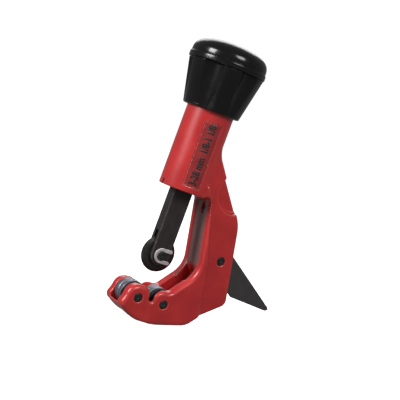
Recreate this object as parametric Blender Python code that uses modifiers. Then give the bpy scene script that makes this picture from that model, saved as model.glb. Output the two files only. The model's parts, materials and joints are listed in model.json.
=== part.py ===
"""Telescopic pipe cutter for thin-walled tube, 3 to 28 mm.

The feed screw runs along +Z towards the knob, the throat of the frame opens to -X and
the two halves of the frame mirror each other across the plane y = 0.
Lengths are metres; outlines in the X-Z plane are listed in millimetres from the screw
axis and the lower rim of the barrel, and scaled by MM.
"""

import math

import bmesh
import bpy
from mathutils import Matrix

MM = 0.001

# Clearances
GAP = 0.0003
FIT = 0.0001
RUN = 0.0001

# Rollers, and the pins that they turn on
ROLLER_R = 0.0070
ROLLER_LENGTH = 0.0098
ROLLER_SHOULDER = 0.0013
ROLLER_STEP = 0.0012
ROLLER_APART = 0.0012
ROLLER_SPACING = 2 * ROLLER_R + ROLLER_APART
ROLLER_Z = -0.0585
PIN_R = 0.00225
PIN_SHY = 0.0001

# C-frame
JAW_WIDTH = 0.0220
WEB_WIDTH = 0.0160
JAW_EDGE_R = 0.0022
WEB_EDGE_R = 0.0018
SLOT_WIDTH = ROLLER_LENGTH + 2 * GAP
CHANNEL_WIDTH = SLOT_WIDTH + 0.0030
LOBE_R = ROLLER_R - 0.0006
SLOT_UNDER_ROLLER = 0.0008
JAW_UNDER_ROLLER = 0.0049

# Barrel, with the screw's journal hole in its closed end
BARREL_R = 0.0125
BARREL_TOP = 0.0442
BARREL_WALL = 0.0029
BARREL_END = 0.0040
BORE_R = BARREL_R - BARREL_WALL
BORE_TOP = BARREL_TOP - BARREL_END
LABEL_DEPTH = 0.0003
LABEL_LOW = 0.0031
LABEL_HIGH = BARREL_TOP - 0.0067
NOTCH_DEG = -176.0
NOTCH_WIDTH = 0.0018
NOTCH_TOP = 0.0030

# Slide, its guide bush and the cutting wheel
BUSH_LENGTH = 0.0156
BUSH_LOW = 0.0004
SLIDE_WIDTH = 0.0105
SLIDE_THICK = 0.0071
SLIDE_TOP = 0.0156
WHEEL_Z = -0.0353
WHEEL_R = 0.0096
WHEEL_THICK = 0.0026
AXLE_R = 0.0025
CLIP_THICK = 0.0008
CLIP_WIDE = 0.0019

# Feed screw and the washers that hold it in the barrel's end
SCREW_R = 0.00245
SCREW_PLAY = 0.00025
SCREW_BOTTOM = -0.0025
JOURNAL_R = SCREW_R + 0.00155
JOURNAL_BOTTOM = BORE_TOP - 0.0032
NECK_R = JOURNAL_R + 0.00015
GROOVE_DEPTH = 0.0008
THRUST_THICK = 0.0010
RETAINER_THICK = 0.0008
KNOB_WASHER_THICK = 0.0010

# Knob, pinned to the screw, and its cap
KNOB_OVERLAP = 0.0012
KNOB_HEIGHT = 0.0232
KNOB_BOTTOM = BARREL_TOP - KNOB_OVERLAP
KNOB_TOP = KNOB_BOTTOM + KNOB_HEIGHT
KNOB_BOTTOM_R = BARREL_R + 0.0026
KNOB_TOP_R = KNOB_BOTTOM_R + 0.0051
KNOB_WALL = 0.0052
HUB_R = JOURNAL_R + 0.0042
HUB_TOP = KNOB_BOTTOM + 0.0190
SCREW_TOP = HUB_TOP - 0.0020
CROSS_Z = KNOB_BOTTOM + 0.0120
CROSS_R = 0.0015
CROSS_LENGTH = 2 * HUB_R - 0.0004
CAP_R = KNOB_TOP_R + 0.0004
CAP_HEIGHT = 0.0130
CAP_TOP = KNOB_TOP + CAP_HEIGHT
FLUTES = 6
FLUTE_R = 0.0080
FLUTE_DEG = -17.0

# Folding reamer blade
REAMER_X = 0.0326
REAMER_Z = -0.0287
BLADE_THICK = 0.0020
SPRING_THICK = 0.0003
BLADE_SLOT = BLADE_THICK + SPRING_THICK + 3 * GAP

# Where the screw axis and the barrel's lower rim sit in the part's own frame: the jaw
# stands on z = 0, and the knob's cap and the blade's tip reach equally far from x = 0.
BLADE_REACH = 0.0436
AXIS_X = (CAP_R - REAMER_X - BLADE_REACH) / 2
RIM_Z = JAW_UNDER_ROLLER + ROLLER_R - ROLLER_Z


def clear_scene():
    for found in list(bpy.data.objects):
        bpy.data.objects.remove(found, do_unlink=True)


clear_scene()
parts = bpy.data.collections.new("pipe_cutter")
cutters = bpy.data.collections.new("cutters")
bpy.context.scene.collection.children.link(parts)
bpy.context.scene.collection.children.link(cutters)


def material(name, colour, roughness, metallic):
    made = bpy.data.materials.new(name)
    made.use_nodes = True
    shader = made.node_tree.nodes["Principled BSDF"]
    shader.inputs["Base Color"].default_value = (*colour, 1.0)
    shader.inputs["Roughness"].default_value = roughness
    shader.inputs["Metallic"].default_value = metallic
    return made


RED_PAINT = ((0.42, 0.030, 0.032), 0.32, 0.0)
BLACK_GLOSS = ((0.012, 0.011, 0.011), 0.18, 0.0)
BLACK_OXIDE = ((0.030, 0.026, 0.026), 0.45, 0.6)
BLACK_NYLON = ((0.025, 0.025, 0.027), 0.55, 0.0)
BRIGHT_STEEL = ((0.56, 0.55, 0.56), 0.28, 1.0)
ROLLER_STEEL = ((0.30, 0.31, 0.36), 0.30, 1.0)
BLADE_STEEL = ((0.055, 0.050, 0.050), 0.50, 0.7)


def at(x, y, z):
    """A place counted from the screw axis and the barrel's lower rim."""
    return (AXIS_X + x, y, RIM_Z + z)


def keep(made, look, smooth=True):
    """Files a finished piece in the part's collection, with its own material."""
    for owner in list(made.users_collection):
        owner.objects.unlink(made)
    parts.objects.link(made)
    made.data.materials.clear()
    made.data.materials.append(material(made.name, *look))
    for face in made.data.polygons:
        face.use_smooth = smooth
    return made


def helper(made):
    """Files a cutter or a piece that is joined to another."""
    for owner in list(made.users_collection):
        owner.objects.unlink(made)
    cutters.objects.link(made)
    made.hide_render = True
    made.display_type = "WIRE"
    return made


def boolean(target, other, operation="DIFFERENCE", solver="EXACT"):
    step = target.modifiers.new(other.name, "BOOLEAN")
    step.operation = operation
    step.solver = solver
    step.object = other
    return step


def arc(cx, cz, radius, start, end, steps):
    """Points of an arc in degrees, ends included."""
    turn = [math.radians(start + (end - start) * i / steps) for i in range(steps + 1)]
    return [(cx + radius * math.cos(a), cz + radius * math.sin(a)) for a in turn]


def rounded(corners, step_deg=15.0):
    """A polygon of corners (x, z, fillet radius), each corner replaced by its arc."""
    points = []
    count = len(corners)
    for i, (x, z, radius) in enumerate(corners):
        if radius <= 0:
            points.append((x, z))
            continue
        x0, z0 = corners[i - 1][:2]
        x1, z1 = corners[(i + 1) % count][:2]
        back = math.atan2(z0 - z, x0 - x)
        ahead = math.atan2(z1 - z, x1 - x)
        turn = (ahead - back) % (2 * math.pi)
        side = 1.0
        if turn > math.pi:
            turn = 2 * math.pi - turn
            side = -1.0
        reach = radius / math.tan(turn / 2)
        middle = back + side * turn / 2
        centre_x = x + radius / math.sin(turn / 2) * math.cos(middle)
        centre_z = z + radius / math.sin(turn / 2) * math.sin(middle)
        first = math.atan2(z + reach * math.sin(back) - centre_z, x + reach * math.cos(back) - centre_x)
        sweep = -side * (math.pi - turn)
        steps = max(2, round(abs(math.degrees(sweep)) / step_deg))
        for k in range(steps + 1):
            angle = first + sweep * k / steps
            points.append((centre_x + radius * math.cos(angle), centre_z + radius * math.sin(angle)))
    return points


def area(points):
    total = 0.0
    for i, (x, z) in enumerate(points):
        total += points[i - 1][0] * z - x * points[i - 1][1]
    return total / 2


def to_mesh(curve_object):
    """The curve's mesh, sewn where its caps meet its sides, in place of the curve."""
    bpy.context.collection.objects.link(curve_object)
    bpy.context.view_layer.update()
    graph = bpy.context.evaluated_depsgraph_get()
    mesh = bpy.data.meshes.new_from_object(curve_object.evaluated_get(graph))
    sewn = bmesh.new()
    sewn.from_mesh(mesh)
    bmesh.ops.remove_doubles(sewn, verts=sewn.verts, dist=1e-6)
    bmesh.ops.recalc_face_normals(sewn, faces=sewn.faces)
    if sewn.calc_volume(signed=True) < 0:
        bmesh.ops.reverse_faces(sewn, faces=sewn.faces)
    sewn.to_mesh(mesh)
    sewn.free()
    name = curve_object.name
    curve = curve_object.data
    place = curve_object.matrix_world.copy()
    bpy.data.objects.remove(curve_object, do_unlink=True)
    bpy.data.curves.remove(curve)
    made = bpy.data.objects.new(name, mesh)
    made.matrix_world = place
    return made


def plate(name, outlines, thickness, edge=0.0, edge_steps=1, centre_y=0.0, pivot=(0.0, 0.0)):
    """A flat outline in the X-Z plane, in millimetres, thickened along Y about centre_y."""
    curve = bpy.data.curves.new(name, "CURVE")
    curve.dimensions = "2D"
    curve.fill_mode = "BOTH"
    curve.extrude = thickness / 2 - edge
    curve.bevel_depth = edge
    curve.bevel_resolution = edge_steps
    curve.offset = -edge
    for index, points in enumerate(outlines):
        wanted = 1 if index == 0 else -1
        if area(points) * wanted < 0:
            points = points[::-1]
        spline = curve.splines.new("POLY")
        spline.points.add(len(points) - 1)
        for point, (x, z) in zip(spline.points, points):
            point.co = ((x - pivot[0]) * MM, (z - pivot[1]) * MM, 0.0, 1.0)
        spline.use_cyclic_u = True
    flat = bpy.data.objects.new(name, curve)
    flat.rotation_euler = (math.pi / 2, 0.0, 0.0)
    flat.location = at(pivot[0] * MM, centre_y, pivot[1] * MM)
    return to_mesh(flat)


def turned(name, profile, steps, place, along="Z", angle=0.0):
    """A profile of (radius, height), outer side top to bottom, turned about its axis."""
    mesh = bpy.data.meshes.new(name)
    build = bmesh.new()
    ring = [build.verts.new((r, 0.0, h)) for r, h in profile]
    closed = profile[0][0] > 0 and profile[-1][0] > 0
    for first, second in zip(ring, ring[1:]):
        build.edges.new((first, second))
    if closed:
        build.edges.new((ring[-1], ring[0]))
    build.to_mesh(mesh)
    build.free()
    made = bpy.data.objects.new(name, mesh)
    made.location = place
    if along == "Y":
        made.rotation_euler = (math.pi / 2, angle, 0.0)
    elif along == "X":
        made.rotation_euler = (angle, math.pi / 2, 0.0)
    else:
        made.rotation_euler = (0.0, 0.0, angle)
    spin = made.modifiers.new("turn", "SCREW")
    spin.steps = steps
    spin.render_steps = steps
    spin.use_merge_vertices = True
    spin.merge_threshold = 0.00001
    return made


def ring_profile(outer, inner, top, bottom):
    return [(outer, top), (outer, bottom), (inner, bottom), (inner, top)]


def rod_profile(radius, top, bottom, chamfer=0.0):
    if chamfer <= 0:
        return [(0.0, top), (radius, top), (radius, bottom), (0.0, bottom)]
    return [
        (0.0, top),
        (radius - chamfer, top),
        (radius, top - chamfer),
        (radius, bottom + chamfer),
        (radius - chamfer, bottom),
        (0.0, bottom),
    ]


def box(name, low, high):
    made = bpy.data.meshes.new(name)
    build = bmesh.new()
    bmesh.ops.create_cube(build, size=1.0)
    size = [b - a for a, b in zip(low, high)]
    bmesh.ops.scale(build, vec=size, verts=build.verts)
    build.to_mesh(made)
    build.free()
    solid = bpy.data.objects.new(name, made)
    solid.location = at(*[(a + b) / 2 for a, b in zip(low, high)])
    return solid


def turned_box(name, low, high, angle):
    """A box given by two corners, then turned about the screw axis by an angle in degrees."""
    made = box(name, low, high)
    turn = Matrix.Rotation(math.radians(angle), 4, "Z")
    for vertex in made.data.vertices:
        vertex.co.x += made.location.x - AXIS_X
        vertex.co.y += made.location.y
        vertex.co = turn @ vertex.co
    made.location.x = AXIS_X
    made.location.y = 0.0
    return made


def drill(name, radius, place, along, length, steps=32):
    """A plain round cutter centred on a place."""
    return helper(turned(name, rod_profile(radius, length / 2, -length / 2), steps, place, along))


# Frame: one die casting with the barrel, the thick-rimmed C and the thinner web behind it.
pin_x = ROLLER_SPACING / 2 / MM
pin_z = ROLLER_Z / MM
lobe_r = LOBE_R / MM
lobe_top = pin_z + lobe_r + 0.2
nose_x = -pin_x - lobe_r - 0.2
under = pin_z - (ROLLER_R + JAW_UNDER_ROLLER) / MM
valley_x = 0.95
barrel_r = BARREL_R / MM
jaw_outline = rounded(
    [
        (barrel_r - 3.9, 8.5, 1.0),
        (barrel_r + 0.7, 2.0, 5.0),
        (25.2, -32.3, 20.0),
        (30.8, pin_z - 1.4, 1.5),
        (25.0, under + 4.2, 4.0),
        (6.0, under, 16.0),
        (-6.0, under, 5.0),
        (-pin_x - 8.9, under + 6.5, 1.8),
        (nose_x, pin_z - 2.2, 6.0),
        (nose_x, lobe_top, lobe_r),
        (-valley_x, lobe_top, lobe_r - 1.3),
        (-valley_x, pin_z + 0.2, 0.9),
        (valley_x, pin_z + 0.2, 0.9),
        (valley_x, lobe_top, lobe_r - 1.3),
        (pin_x + 1.8, lobe_top, 4.0),
        (21.5, -38.0, 13.0),
        (barrel_r + 0.8, 0.5, 4.0),
        (barrel_r - 4.5, 0.5, 0.0),
    ]
)
web_outline = rounded(
    [
        (barrel_r - 5.0, 28.4, 0.0),
        (35.9, -7.0, 21.0),
        (45.5, pin_z + 8.3, 4.5),
        (29.0, pin_z - 3.7, 0.0),
        (20.0, pin_z - 5.5, 0.0),
        (24.0, -45.0, 0.0),
        (22.6, -34.0, 0.0),
        (16.8, -10.0, 0.0),
        (barrel_r + 2.3, -2.0, 0.0),
        (barrel_r - 5.0, 1.5, 0.0),
    ]
)
barrel_profile = [
    (0.0, BARREL_TOP),
    (BARREL_R - 0.0006, BARREL_TOP),
    (BARREL_R, BARREL_TOP - 0.0006),
    (BARREL_R, 0.0007),
    (BARREL_R - 0.0007, 0.0),
    (0.0, 0.0),
]
frame = turned("frame", barrel_profile, 64, at(0.0, 0.0, 0.0))
keep(frame, RED_PAINT)
# The jaw is joined with the manifold solver: the exact one loses it when the barrel is much wider.
boolean(frame, helper(plate("web_body", [web_outline], WEB_WIDTH, WEB_EDGE_R)), "UNION")
boolean(frame, helper(plate("jaw_body", [jaw_outline], JAW_WIDTH, JAW_EDGE_R, 2)), "UNION", "MANIFOLD")

# The slot between the cheeks is open at the throat and at the nose.
slot_floor = pin_z - (ROLLER_R + SLOT_UNDER_ROLLER) / MM
slot_outline = rounded(
    [
        (-pin_x - 17.4, -40.0, 0.0),
        (15.0, -40.0, 0.0),
        (21.0, -34.0, 0.0),
        (23.0, -38.0, 3.0),
        (29.0, -45.0, 7.0),
        (27.5, pin_z + 0.5, 6.0),
        (17.0, slot_floor, 5.0),
        (-9.0, slot_floor, 3.0),
        (-pin_x - 6.0, slot_floor + 2.1, 0.0),
        (-pin_x - 17.4, slot_floor + 5.3, 0.0),
    ]
)
boolean(frame, helper(plate("roller_slot_cut", [slot_outline], SLOT_WIDTH)))
channel_outline = rounded(
    [
        (5.0, -1.9, 0.0),
        (barrel_r + 2.4, -1.9, 1.2),
        (21.5, -34.0, 6.0),
        (17.3, -43.4, 0.0),
        (5.0, -43.4, 0.0),
    ]
)
boolean(frame, helper(plate("channel_cut", [channel_outline], CHANNEL_WIDTH)))

# The blade folds up into a slot that is open along the back of the web.
blade_x = REAMER_X / MM
blade_z = REAMER_Z / MM
blade_slot_outline = [
    (blade_x - 18.6, blade_z + 45.9),
    (blade_x - 9.5, blade_z - 1.8),
    (blade_x - 9.0, blade_z - 3.9),
    (blade_x - 6.4, blade_z - 5.7),
    (blade_x - 3.6, blade_z - 6.7),
    (blade_x + 17.6, blade_z - 18.1),
    (blade_x + 27.4, blade_z - 18.1),
    (blade_x + 27.4, blade_z + 45.9),
]
boolean(frame, helper(plate("blade_slot_cut", [blade_slot_outline], BLADE_SLOT)))
slit = box("slit_cut", (0.0110, -0.0007, -0.0064), (0.0200, 0.0007, -0.0024))
boolean(frame, helper(slit))
boolean(frame, drill("slit_eye_cut", 0.0011, at(0.0150, 0.0, -0.0040), "X", 0.0080, 16))

# A thumb scoop on each side lets the folded blade be caught by its corner.
scoop_circle_r = 0.0107
scoop_depth = 0.0036
scoop_ball_r = (scoop_circle_r**2 + scoop_depth**2) / (2 * scoop_depth)
for name, side in (("near", -1), ("far", 1)):
    ball = [
        (scoop_ball_r * math.sin(math.radians(a)), scoop_ball_r * math.cos(math.radians(a)))
        for a in (0, 8, 16, 24, 32, 40, 48)
    ]
    ball.append((0.0, ball[-1][1]))
    centre_y = side * (WEB_WIDTH / 2 - scoop_depth + scoop_ball_r)
    scoop = turned("scoop_" + name, ball, 40, at(0.0276, centre_y, 0.0070))
    scoop.rotation_euler = (-side * -math.pi / 2, 0.0, 0.0)
    boolean(frame, helper(scoop))

pin_holes = (
    ("front_pin_cut", -ROLLER_SPACING / 2, ROLLER_Z, JAW_WIDTH),
    ("rear_pin_cut", ROLLER_SPACING / 2, ROLLER_Z, JAW_WIDTH),
    ("reamer_pin_cut", REAMER_X, REAMER_Z, WEB_WIDTH),
)
for name, x, z, width in pin_holes:
    boolean(frame, drill(name, PIN_R + FIT, at(x, 0.0, z), "Y", width + 0.004))

# Key notch for the guide bush, through the barrel's rim on the throat side.
notch_low = (-BARREL_R - 0.0015, -NOTCH_WIDTH / 2, -0.0010)
notch_high = (-BORE_R + 0.0006, NOTCH_WIDTH / 2, NOTCH_TOP)
boolean(frame, helper(turned_box("notch_cut", notch_low, notch_high, NOTCH_DEG + 180.0)))

# Shallow panel for the size marking, wrapped round the near side of the barrel.
label_start, label_end = -121.5, -75.5
outer_arc = arc(0.0, 0.0, BARREL_R / MM + 0.9, label_start, label_end, 9)
inner_arc = arc(0.0, 0.0, (BARREL_R - LABEL_DEPTH) / MM, label_end, label_start, 9)
label_cut = plate("label_cut", [outer_arc + inner_arc], LABEL_HIGH - LABEL_LOW)
label_cut.rotation_euler = (0.0, 0.0, 0.0)
label_cut.location = at(0.0, 0.0, (LABEL_LOW + LABEL_HIGH) / 2)
boolean(frame, helper(label_cut))

# The bore for the slide and the journal hole above it are one stepped cut.
bore_profile = [
    (0.0, BARREL_TOP + 0.003),
    (NECK_R, BARREL_TOP + 0.003),
    (NECK_R, BORE_TOP),
    (BORE_R, BORE_TOP),
    (BORE_R, -0.003),
    (0.0, -0.003),
]
boolean(frame, helper(turned("bore_cut", bore_profile, 64, at(0.0, 0.0, 0.0))))

# Guide bush: a black moulded liner pressed into the barrel's mouth, keyed in the notch.
bush_profile = rod_profile(BORE_R - GAP, BUSH_LENGTH, BUSH_LOW)
guide_bush = keep(turned("guide_bush", bush_profile, 48, at(0.0, 0.0, 0.0)), BLACK_NYLON)
key_low = (-BARREL_R + 0.0007, -NOTCH_WIDTH / 2 + GAP, BUSH_LOW)
key_high = (-BORE_R + 0.0016, NOTCH_WIDTH / 2 - GAP, NOTCH_TOP - BUSH_LOW)
key = helper(turned_box("bush_key", key_low, key_high, NOTCH_DEG + 180.0))
boolean(guide_bush, key, "UNION")
half_w = SLIDE_WIDTH / 2 + GAP
half_t = SLIDE_THICK / 2 + GAP
bush_cut = box("bush_cut", (-half_w, -half_t, -0.002), (half_w, half_t, BUSH_LENGTH + 0.002))
boolean(guide_bush, helper(bush_cut))

# Slide: a flat steel bar, tapped down its middle and forked at the foot for the wheel.
half_w = SLIDE_WIDTH / 2 / MM
slide_top = SLIDE_TOP / MM
wheel_z = WHEEL_Z / MM
slide_outline = [(half_w, slide_top), (-half_w, slide_top)]
slide_outline += arc(0.0, wheel_z, half_w, 180.0, 360.0, 16)
slide = plate("slide", [slide_outline], SLIDE_THICK, 0.0004, 0, 0.0, (0.0, wheel_z))
keep(slide, BLACK_OXIDE, False)
slot_half = WHEEL_THICK / 2 + GAP
fork_top = WHEEL_Z + WHEEL_R + 0.0024
fork = box("fork_cut", (-0.008, -slot_half, WHEEL_Z - 0.008), (0.008, slot_half, fork_top))
boolean(slide, helper(fork))
tapped_z = (SLIDE_TOP + fork_top) / 2
tapped_length = SLIDE_TOP - fork_top + 0.002
boolean(slide, drill("tapped_cut", SCREW_R + SCREW_PLAY, at(0.0, 0.0, tapped_z), "Z", tapped_length, 24))
boolean(slide, drill("axle_hole_cut", AXLE_R + FIT, at(0.0, 0.0, WHEEL_Z), "Y", SLIDE_THICK + 0.0049))

# Cutting wheel, its headed axle and the horseshoe clip that holds the axle.
half = WHEEL_THICK / 2
wheel_profile = [
    (AXLE_R + RUN, half),
    (WHEEL_R - 0.0024, half),
    (WHEEL_R - 0.0004, half * 0.28),
    (WHEEL_R, 0.0),
    (WHEEL_R - 0.0004, -half * 0.28),
    (WHEEL_R - 0.0024, -half),
    (AXLE_R + RUN, -half),
]
wheel_place = at(0.0, 0.0, WHEEL_Z)
keep(turned("cutting_wheel", wheel_profile, 56, wheel_place, "Y"), BLACK_OXIDE)
# The axle's head is on the far side, so its profile is turned with +Z towards -Y.
arm = SLIDE_THICK / 2
groove_top = arm + 0.0014
axle_profile = [
    (0.0, arm + 0.0021),
    (AXLE_R - 0.0003, arm + 0.0021),
    (AXLE_R, arm + 0.0018),
    (AXLE_R, groove_top),
    (AXLE_R - 0.0005, groove_top),
    (AXLE_R - 0.0005, arm + 0.0002),
    (AXLE_R, arm + 0.0002),
    (AXLE_R, -arm - GAP),
    (AXLE_R + 0.0012, -arm - GAP),
    (AXLE_R + 0.0012, -arm - 0.0011),
    (AXLE_R + 0.0007, -arm - 0.0015),
    (0.0, -arm - 0.0015),
]
keep(turned("wheel_axle", axle_profile, 32, wheel_place, "Y"), BLACK_OXIDE)
clip_in = AXLE_R / MM - 0.4
clip_out = clip_in + CLIP_WIDE / MM
clip_mid = (clip_in + clip_out) / 2
clip_end = 4.6
tip_r = CLIP_WIDE / 2 / MM
clip_outline = arc(0.0, 0.0, clip_out, 90.0, 270.0, 14)
clip_outline += arc(clip_end, -clip_mid, tip_r, -90.0, 90.0, 6)
clip_outline += arc(0.0, 0.0, clip_in, 270.0, 90.0, 12)
clip_outline += arc(clip_end, clip_mid, tip_r, -90.0, 90.0, 6)[:-1]
clip_outline = [(x, z + wheel_z) for x, z in clip_outline]
clip_y = -(arm + 0.0004 + CLIP_THICK / 2)
axle_clip = plate("axle_clip", [clip_outline], CLIP_THICK, 0.0, 0, clip_y, (0.0, wheel_z))
keep(axle_clip, BRIGHT_STEEL, False)

# Two rollers on pins pressed through the cheeks.
roller_half = ROLLER_LENGTH / 2
body_half = roller_half - ROLLER_SHOULDER
shoulder_r = ROLLER_R - ROLLER_STEP
roller_profile = [
    (PIN_R + RUN, roller_half),
    (shoulder_r, roller_half),
    (shoulder_r, body_half),
    (ROLLER_R - 0.0003, body_half),
    (ROLLER_R, body_half - 0.0003),
    (ROLLER_R, 0.0003),
    (ROLLER_R - 0.0002, 0.0),
    (ROLLER_R, -0.0003),
    (ROLLER_R, -body_half + 0.0003),
    (ROLLER_R - 0.0003, -body_half),
    (shoulder_r, -body_half),
    (shoulder_r, -roller_half),
    (PIN_R + RUN, -roller_half),
]
jaw_pin_half = JAW_WIDTH / 2 - PIN_SHY
jaw_pin = rod_profile(PIN_R, jaw_pin_half, -jaw_pin_half, 0.0003)
for name, side in (("front", -1), ("rear", 1)):
    place = at(side * ROLLER_SPACING / 2, 0.0, ROLLER_Z)
    keep(turned(name + "_roller", roller_profile, 40, place, "Y"), ROLLER_STEEL)
    keep(turned(name + "_roller_pin", jaw_pin, 32, place, "Y"), BLACK_OXIDE)

# Folding reamer: a flat triangular blade on a pin through the web, with one spring washer.
heel_r = 7.0
blade_outline = [(42.9, -17.2), (4.9, 7.6)]
blade_outline += arc(0.0, 0.0, heel_r, 95.0, 242.0, 9)
blade_outline += [(17.2, -16.7), (18.3, -17.6), (41.9, -19.5), (BLADE_REACH / MM, -18.5)]
blade_outline = [(x + blade_x, z + blade_z) for x, z in blade_outline]
blade_y = (SPRING_THICK + GAP) / 2
pivot = (blade_x, blade_z)
blade = plate("reamer_blade", [blade_outline], BLADE_THICK, 0.0, 0, blade_y, pivot)
keep(blade, BLADE_STEEL, False)
pivot_place = at(REAMER_X, 0.0, REAMER_Z)
boolean(blade, drill("blade_hole_cut", PIN_R + RUN, pivot_place, "Y", BLADE_THICK + 0.004))
washer_y = (SPRING_THICK + GAP - BLADE_SLOT) / 2
washer_place = at(REAMER_X, washer_y, REAMER_Z)
washer = ring_profile(0.0052, PIN_R + RUN, SPRING_THICK / 2, -SPRING_THICK / 2)
keep(turned("reamer_spring_washer", washer, 32, washer_place, "Y"), BRIGHT_STEEL)
web_pin_half = WEB_WIDTH / 2 - PIN_SHY
web_pin = rod_profile(PIN_R, web_pin_half, -web_pin_half, 0.0003)
keep(turned("reamer_pin", web_pin, 32, pivot_place, "Y"), BLACK_OXIDE)

# Feed screw: thread drawn at its outside size, plain journal, retaining-ring groove.
thrust_top = BORE_TOP - GAP
thrust_bottom = thrust_top - THRUST_THICK
ring_top = thrust_bottom - GAP
groove_top = ring_top + FIT
groove_bottom = ring_top - RETAINER_THICK - FIT
groove_r = JOURNAL_R - GROOVE_DEPTH
screw_profile = [
    (0.0, SCREW_TOP),
    (JOURNAL_R - 0.0004, SCREW_TOP),
    (JOURNAL_R, SCREW_TOP - 0.0004),
    (JOURNAL_R, groove_top),
    (groove_r, groove_top),
    (groove_r, groove_bottom),
    (JOURNAL_R, groove_bottom),
    (JOURNAL_R, JOURNAL_BOTTOM),
    (SCREW_R, JOURNAL_BOTTOM),
    (SCREW_R, SCREW_BOTTOM + 0.0006),
    (SCREW_R - 0.0006, SCREW_BOTTOM),
    (0.0, SCREW_BOTTOM),
]
screw_place = at(0.0, 0.0, 0.0)
cross_place = at(0.0, 0.0, CROSS_Z)
feed_screw = keep(turned("feed_screw", screw_profile, 32, screw_place), BRIGHT_STEEL)
boolean(feed_screw, drill("screw_cross_cut", CROSS_R + FIT, cross_place, "X", 3 * JOURNAL_R, 20))
thrust = ring_profile(BORE_R - 0.0012, JOURNAL_R + RUN, thrust_top, thrust_bottom)
keep(turned("thrust_washer", thrust, 36, screw_place), BRIGHT_STEEL)
retainer_outline = arc(0.0, 0.0, JOURNAL_R / MM + 2.4, 25.0, 335.0, 22)
retainer_outline += arc(0.0, 0.0, (groove_r + FIT) / MM, 335.0, 25.0, 20)
retainer = plate("retaining_ring", [retainer_outline], RETAINER_THICK)
retainer.rotation_euler = (0.0, 0.0, 0.0)
retainer.location = at(0.0, 0.0, ring_top - RETAINER_THICK / 2)
keep(retainer, BRIGHT_STEEL, False)
knob_washer_top = BARREL_TOP + GAP + KNOB_WASHER_THICK
knob_washer_r = BARREL_R - 0.0015
knob_washer = ring_profile(knob_washer_r, JOURNAL_R + RUN, knob_washer_top, BARREL_TOP + GAP)
keep(turned("knob_washer", knob_washer, 40, screw_place), BLACK_NYLON)

# Knob: a tapered moulding with six flutes, hollow above, pinned to the screw by its hub.
skirt_r = BARREL_R + 0.0005
hub_bottom = knob_washer_top + GAP
floor_z = hub_bottom + 0.0022
slope = (KNOB_TOP_R - KNOB_BOTTOM_R) / (KNOB_TOP - KNOB_BOTTOM)
knob_profile = [
    (KNOB_TOP_R, KNOB_TOP),
    (KNOB_BOTTOM_R + 0.0020 * slope, KNOB_BOTTOM + 0.0020),
    (KNOB_BOTTOM_R - 0.0003, KNOB_BOTTOM + 0.0008),
    (KNOB_BOTTOM_R - 0.0011, KNOB_BOTTOM),
    (skirt_r + 0.0002, KNOB_BOTTOM),
    (skirt_r, KNOB_BOTTOM + 0.0002),
    (skirt_r, hub_bottom),
    (JOURNAL_R + FIT, hub_bottom),
    (JOURNAL_R + FIT, HUB_TOP),
    (HUB_R, HUB_TOP),
    (HUB_R, floor_z),
    (KNOB_BOTTOM_R + (floor_z - KNOB_BOTTOM) * slope - KNOB_WALL + 0.0022, floor_z),
    (KNOB_TOP_R - KNOB_WALL, KNOB_TOP - 0.0040),
    (KNOB_TOP_R - KNOB_WALL, KNOB_TOP),
]
knob = keep(turned("knob", knob_profile, 72, screw_place), BLACK_GLOSS)
flute_low = (KNOB_BOTTOM_R + FLUTE_R - 0.0001, KNOB_BOTTOM)
flute_high = (KNOB_TOP_R + FLUTE_R - 0.0031, KNOB_TOP + 0.0008)
tilt = math.atan2(flute_high[0] - flute_low[0], flute_high[1] - flute_low[1])
flute_mid_r = (flute_low[0] + flute_high[0]) / 2
flute_mid_z = (flute_low[1] + flute_high[1]) / 2
flute_rod = rod_profile(FLUTE_R, KNOB_HEIGHT / 2 + 0.0054, -KNOB_HEIGHT / 2 - 0.0054)
for index in range(FLUTES):
    angle = math.radians(FLUTE_DEG + index * 360.0 / FLUTES)
    place = at(flute_mid_r * math.cos(angle), flute_mid_r * math.sin(angle), flute_mid_z)
    flute = turned("flute_cut_" + str(index + 1), flute_rod, 40, place)
    flute.rotation_euler = (0.0, tilt, angle)
    boolean(knob, helper(flute))
boolean(knob, drill("knob_cross_cut", CROSS_R + FIT, cross_place, "X", CROSS_LENGTH + 0.002, 20))
drive_pin = rod_profile(CROSS_R, CROSS_LENGTH / 2, -CROSS_LENGTH / 2, 0.0003)
keep(turned("drive_pin", drive_pin, 20, cross_place, "X"), BRIGHT_STEEL)

# Cap: a domed cover whose skirt snaps into the knob's mouth.
cap_low = KNOB_TOP + 0.0002
skirt = KNOB_TOP_R - KNOB_WALL - GAP
dome_r = CAP_R - 0.0005
cap_profile = [
    (0.0, CAP_TOP),
    (0.299 * dome_r, CAP_TOP - 0.0002),
    (0.547 * dome_r, CAP_TOP - 0.0008),
    (0.726 * dome_r, CAP_TOP - 0.0017),
    (0.856 * dome_r, CAP_TOP - 0.0030),
    (0.940 * dome_r, CAP_TOP - 0.0049),
    (0.985 * dome_r, CAP_TOP - 0.0071),
    (dome_r, CAP_TOP - 0.0091),
    (CAP_R - 0.0003, CAP_TOP - 0.0094),
    (CAP_R, CAP_TOP - 0.0099),
    (CAP_R, cap_low + 0.0003),
    (CAP_R - 0.0003, cap_low),
    (skirt, cap_low),
    (skirt, cap_low - 0.0032),
    (skirt - 0.0014, cap_low - 0.0032),
    (skirt - 0.0014, cap_low + 0.0050),
    (0.597 * dome_r, CAP_TOP - 0.0030),
    (0.0, CAP_TOP - 0.0024),
]
keep(turned("knob_cap", cap_profile, 64, screw_place), BLACK_GLOSS)
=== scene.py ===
import json
import math

import bmesh
import bpy
import numpy as np
from mathutils import Matrix, Vector

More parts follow.
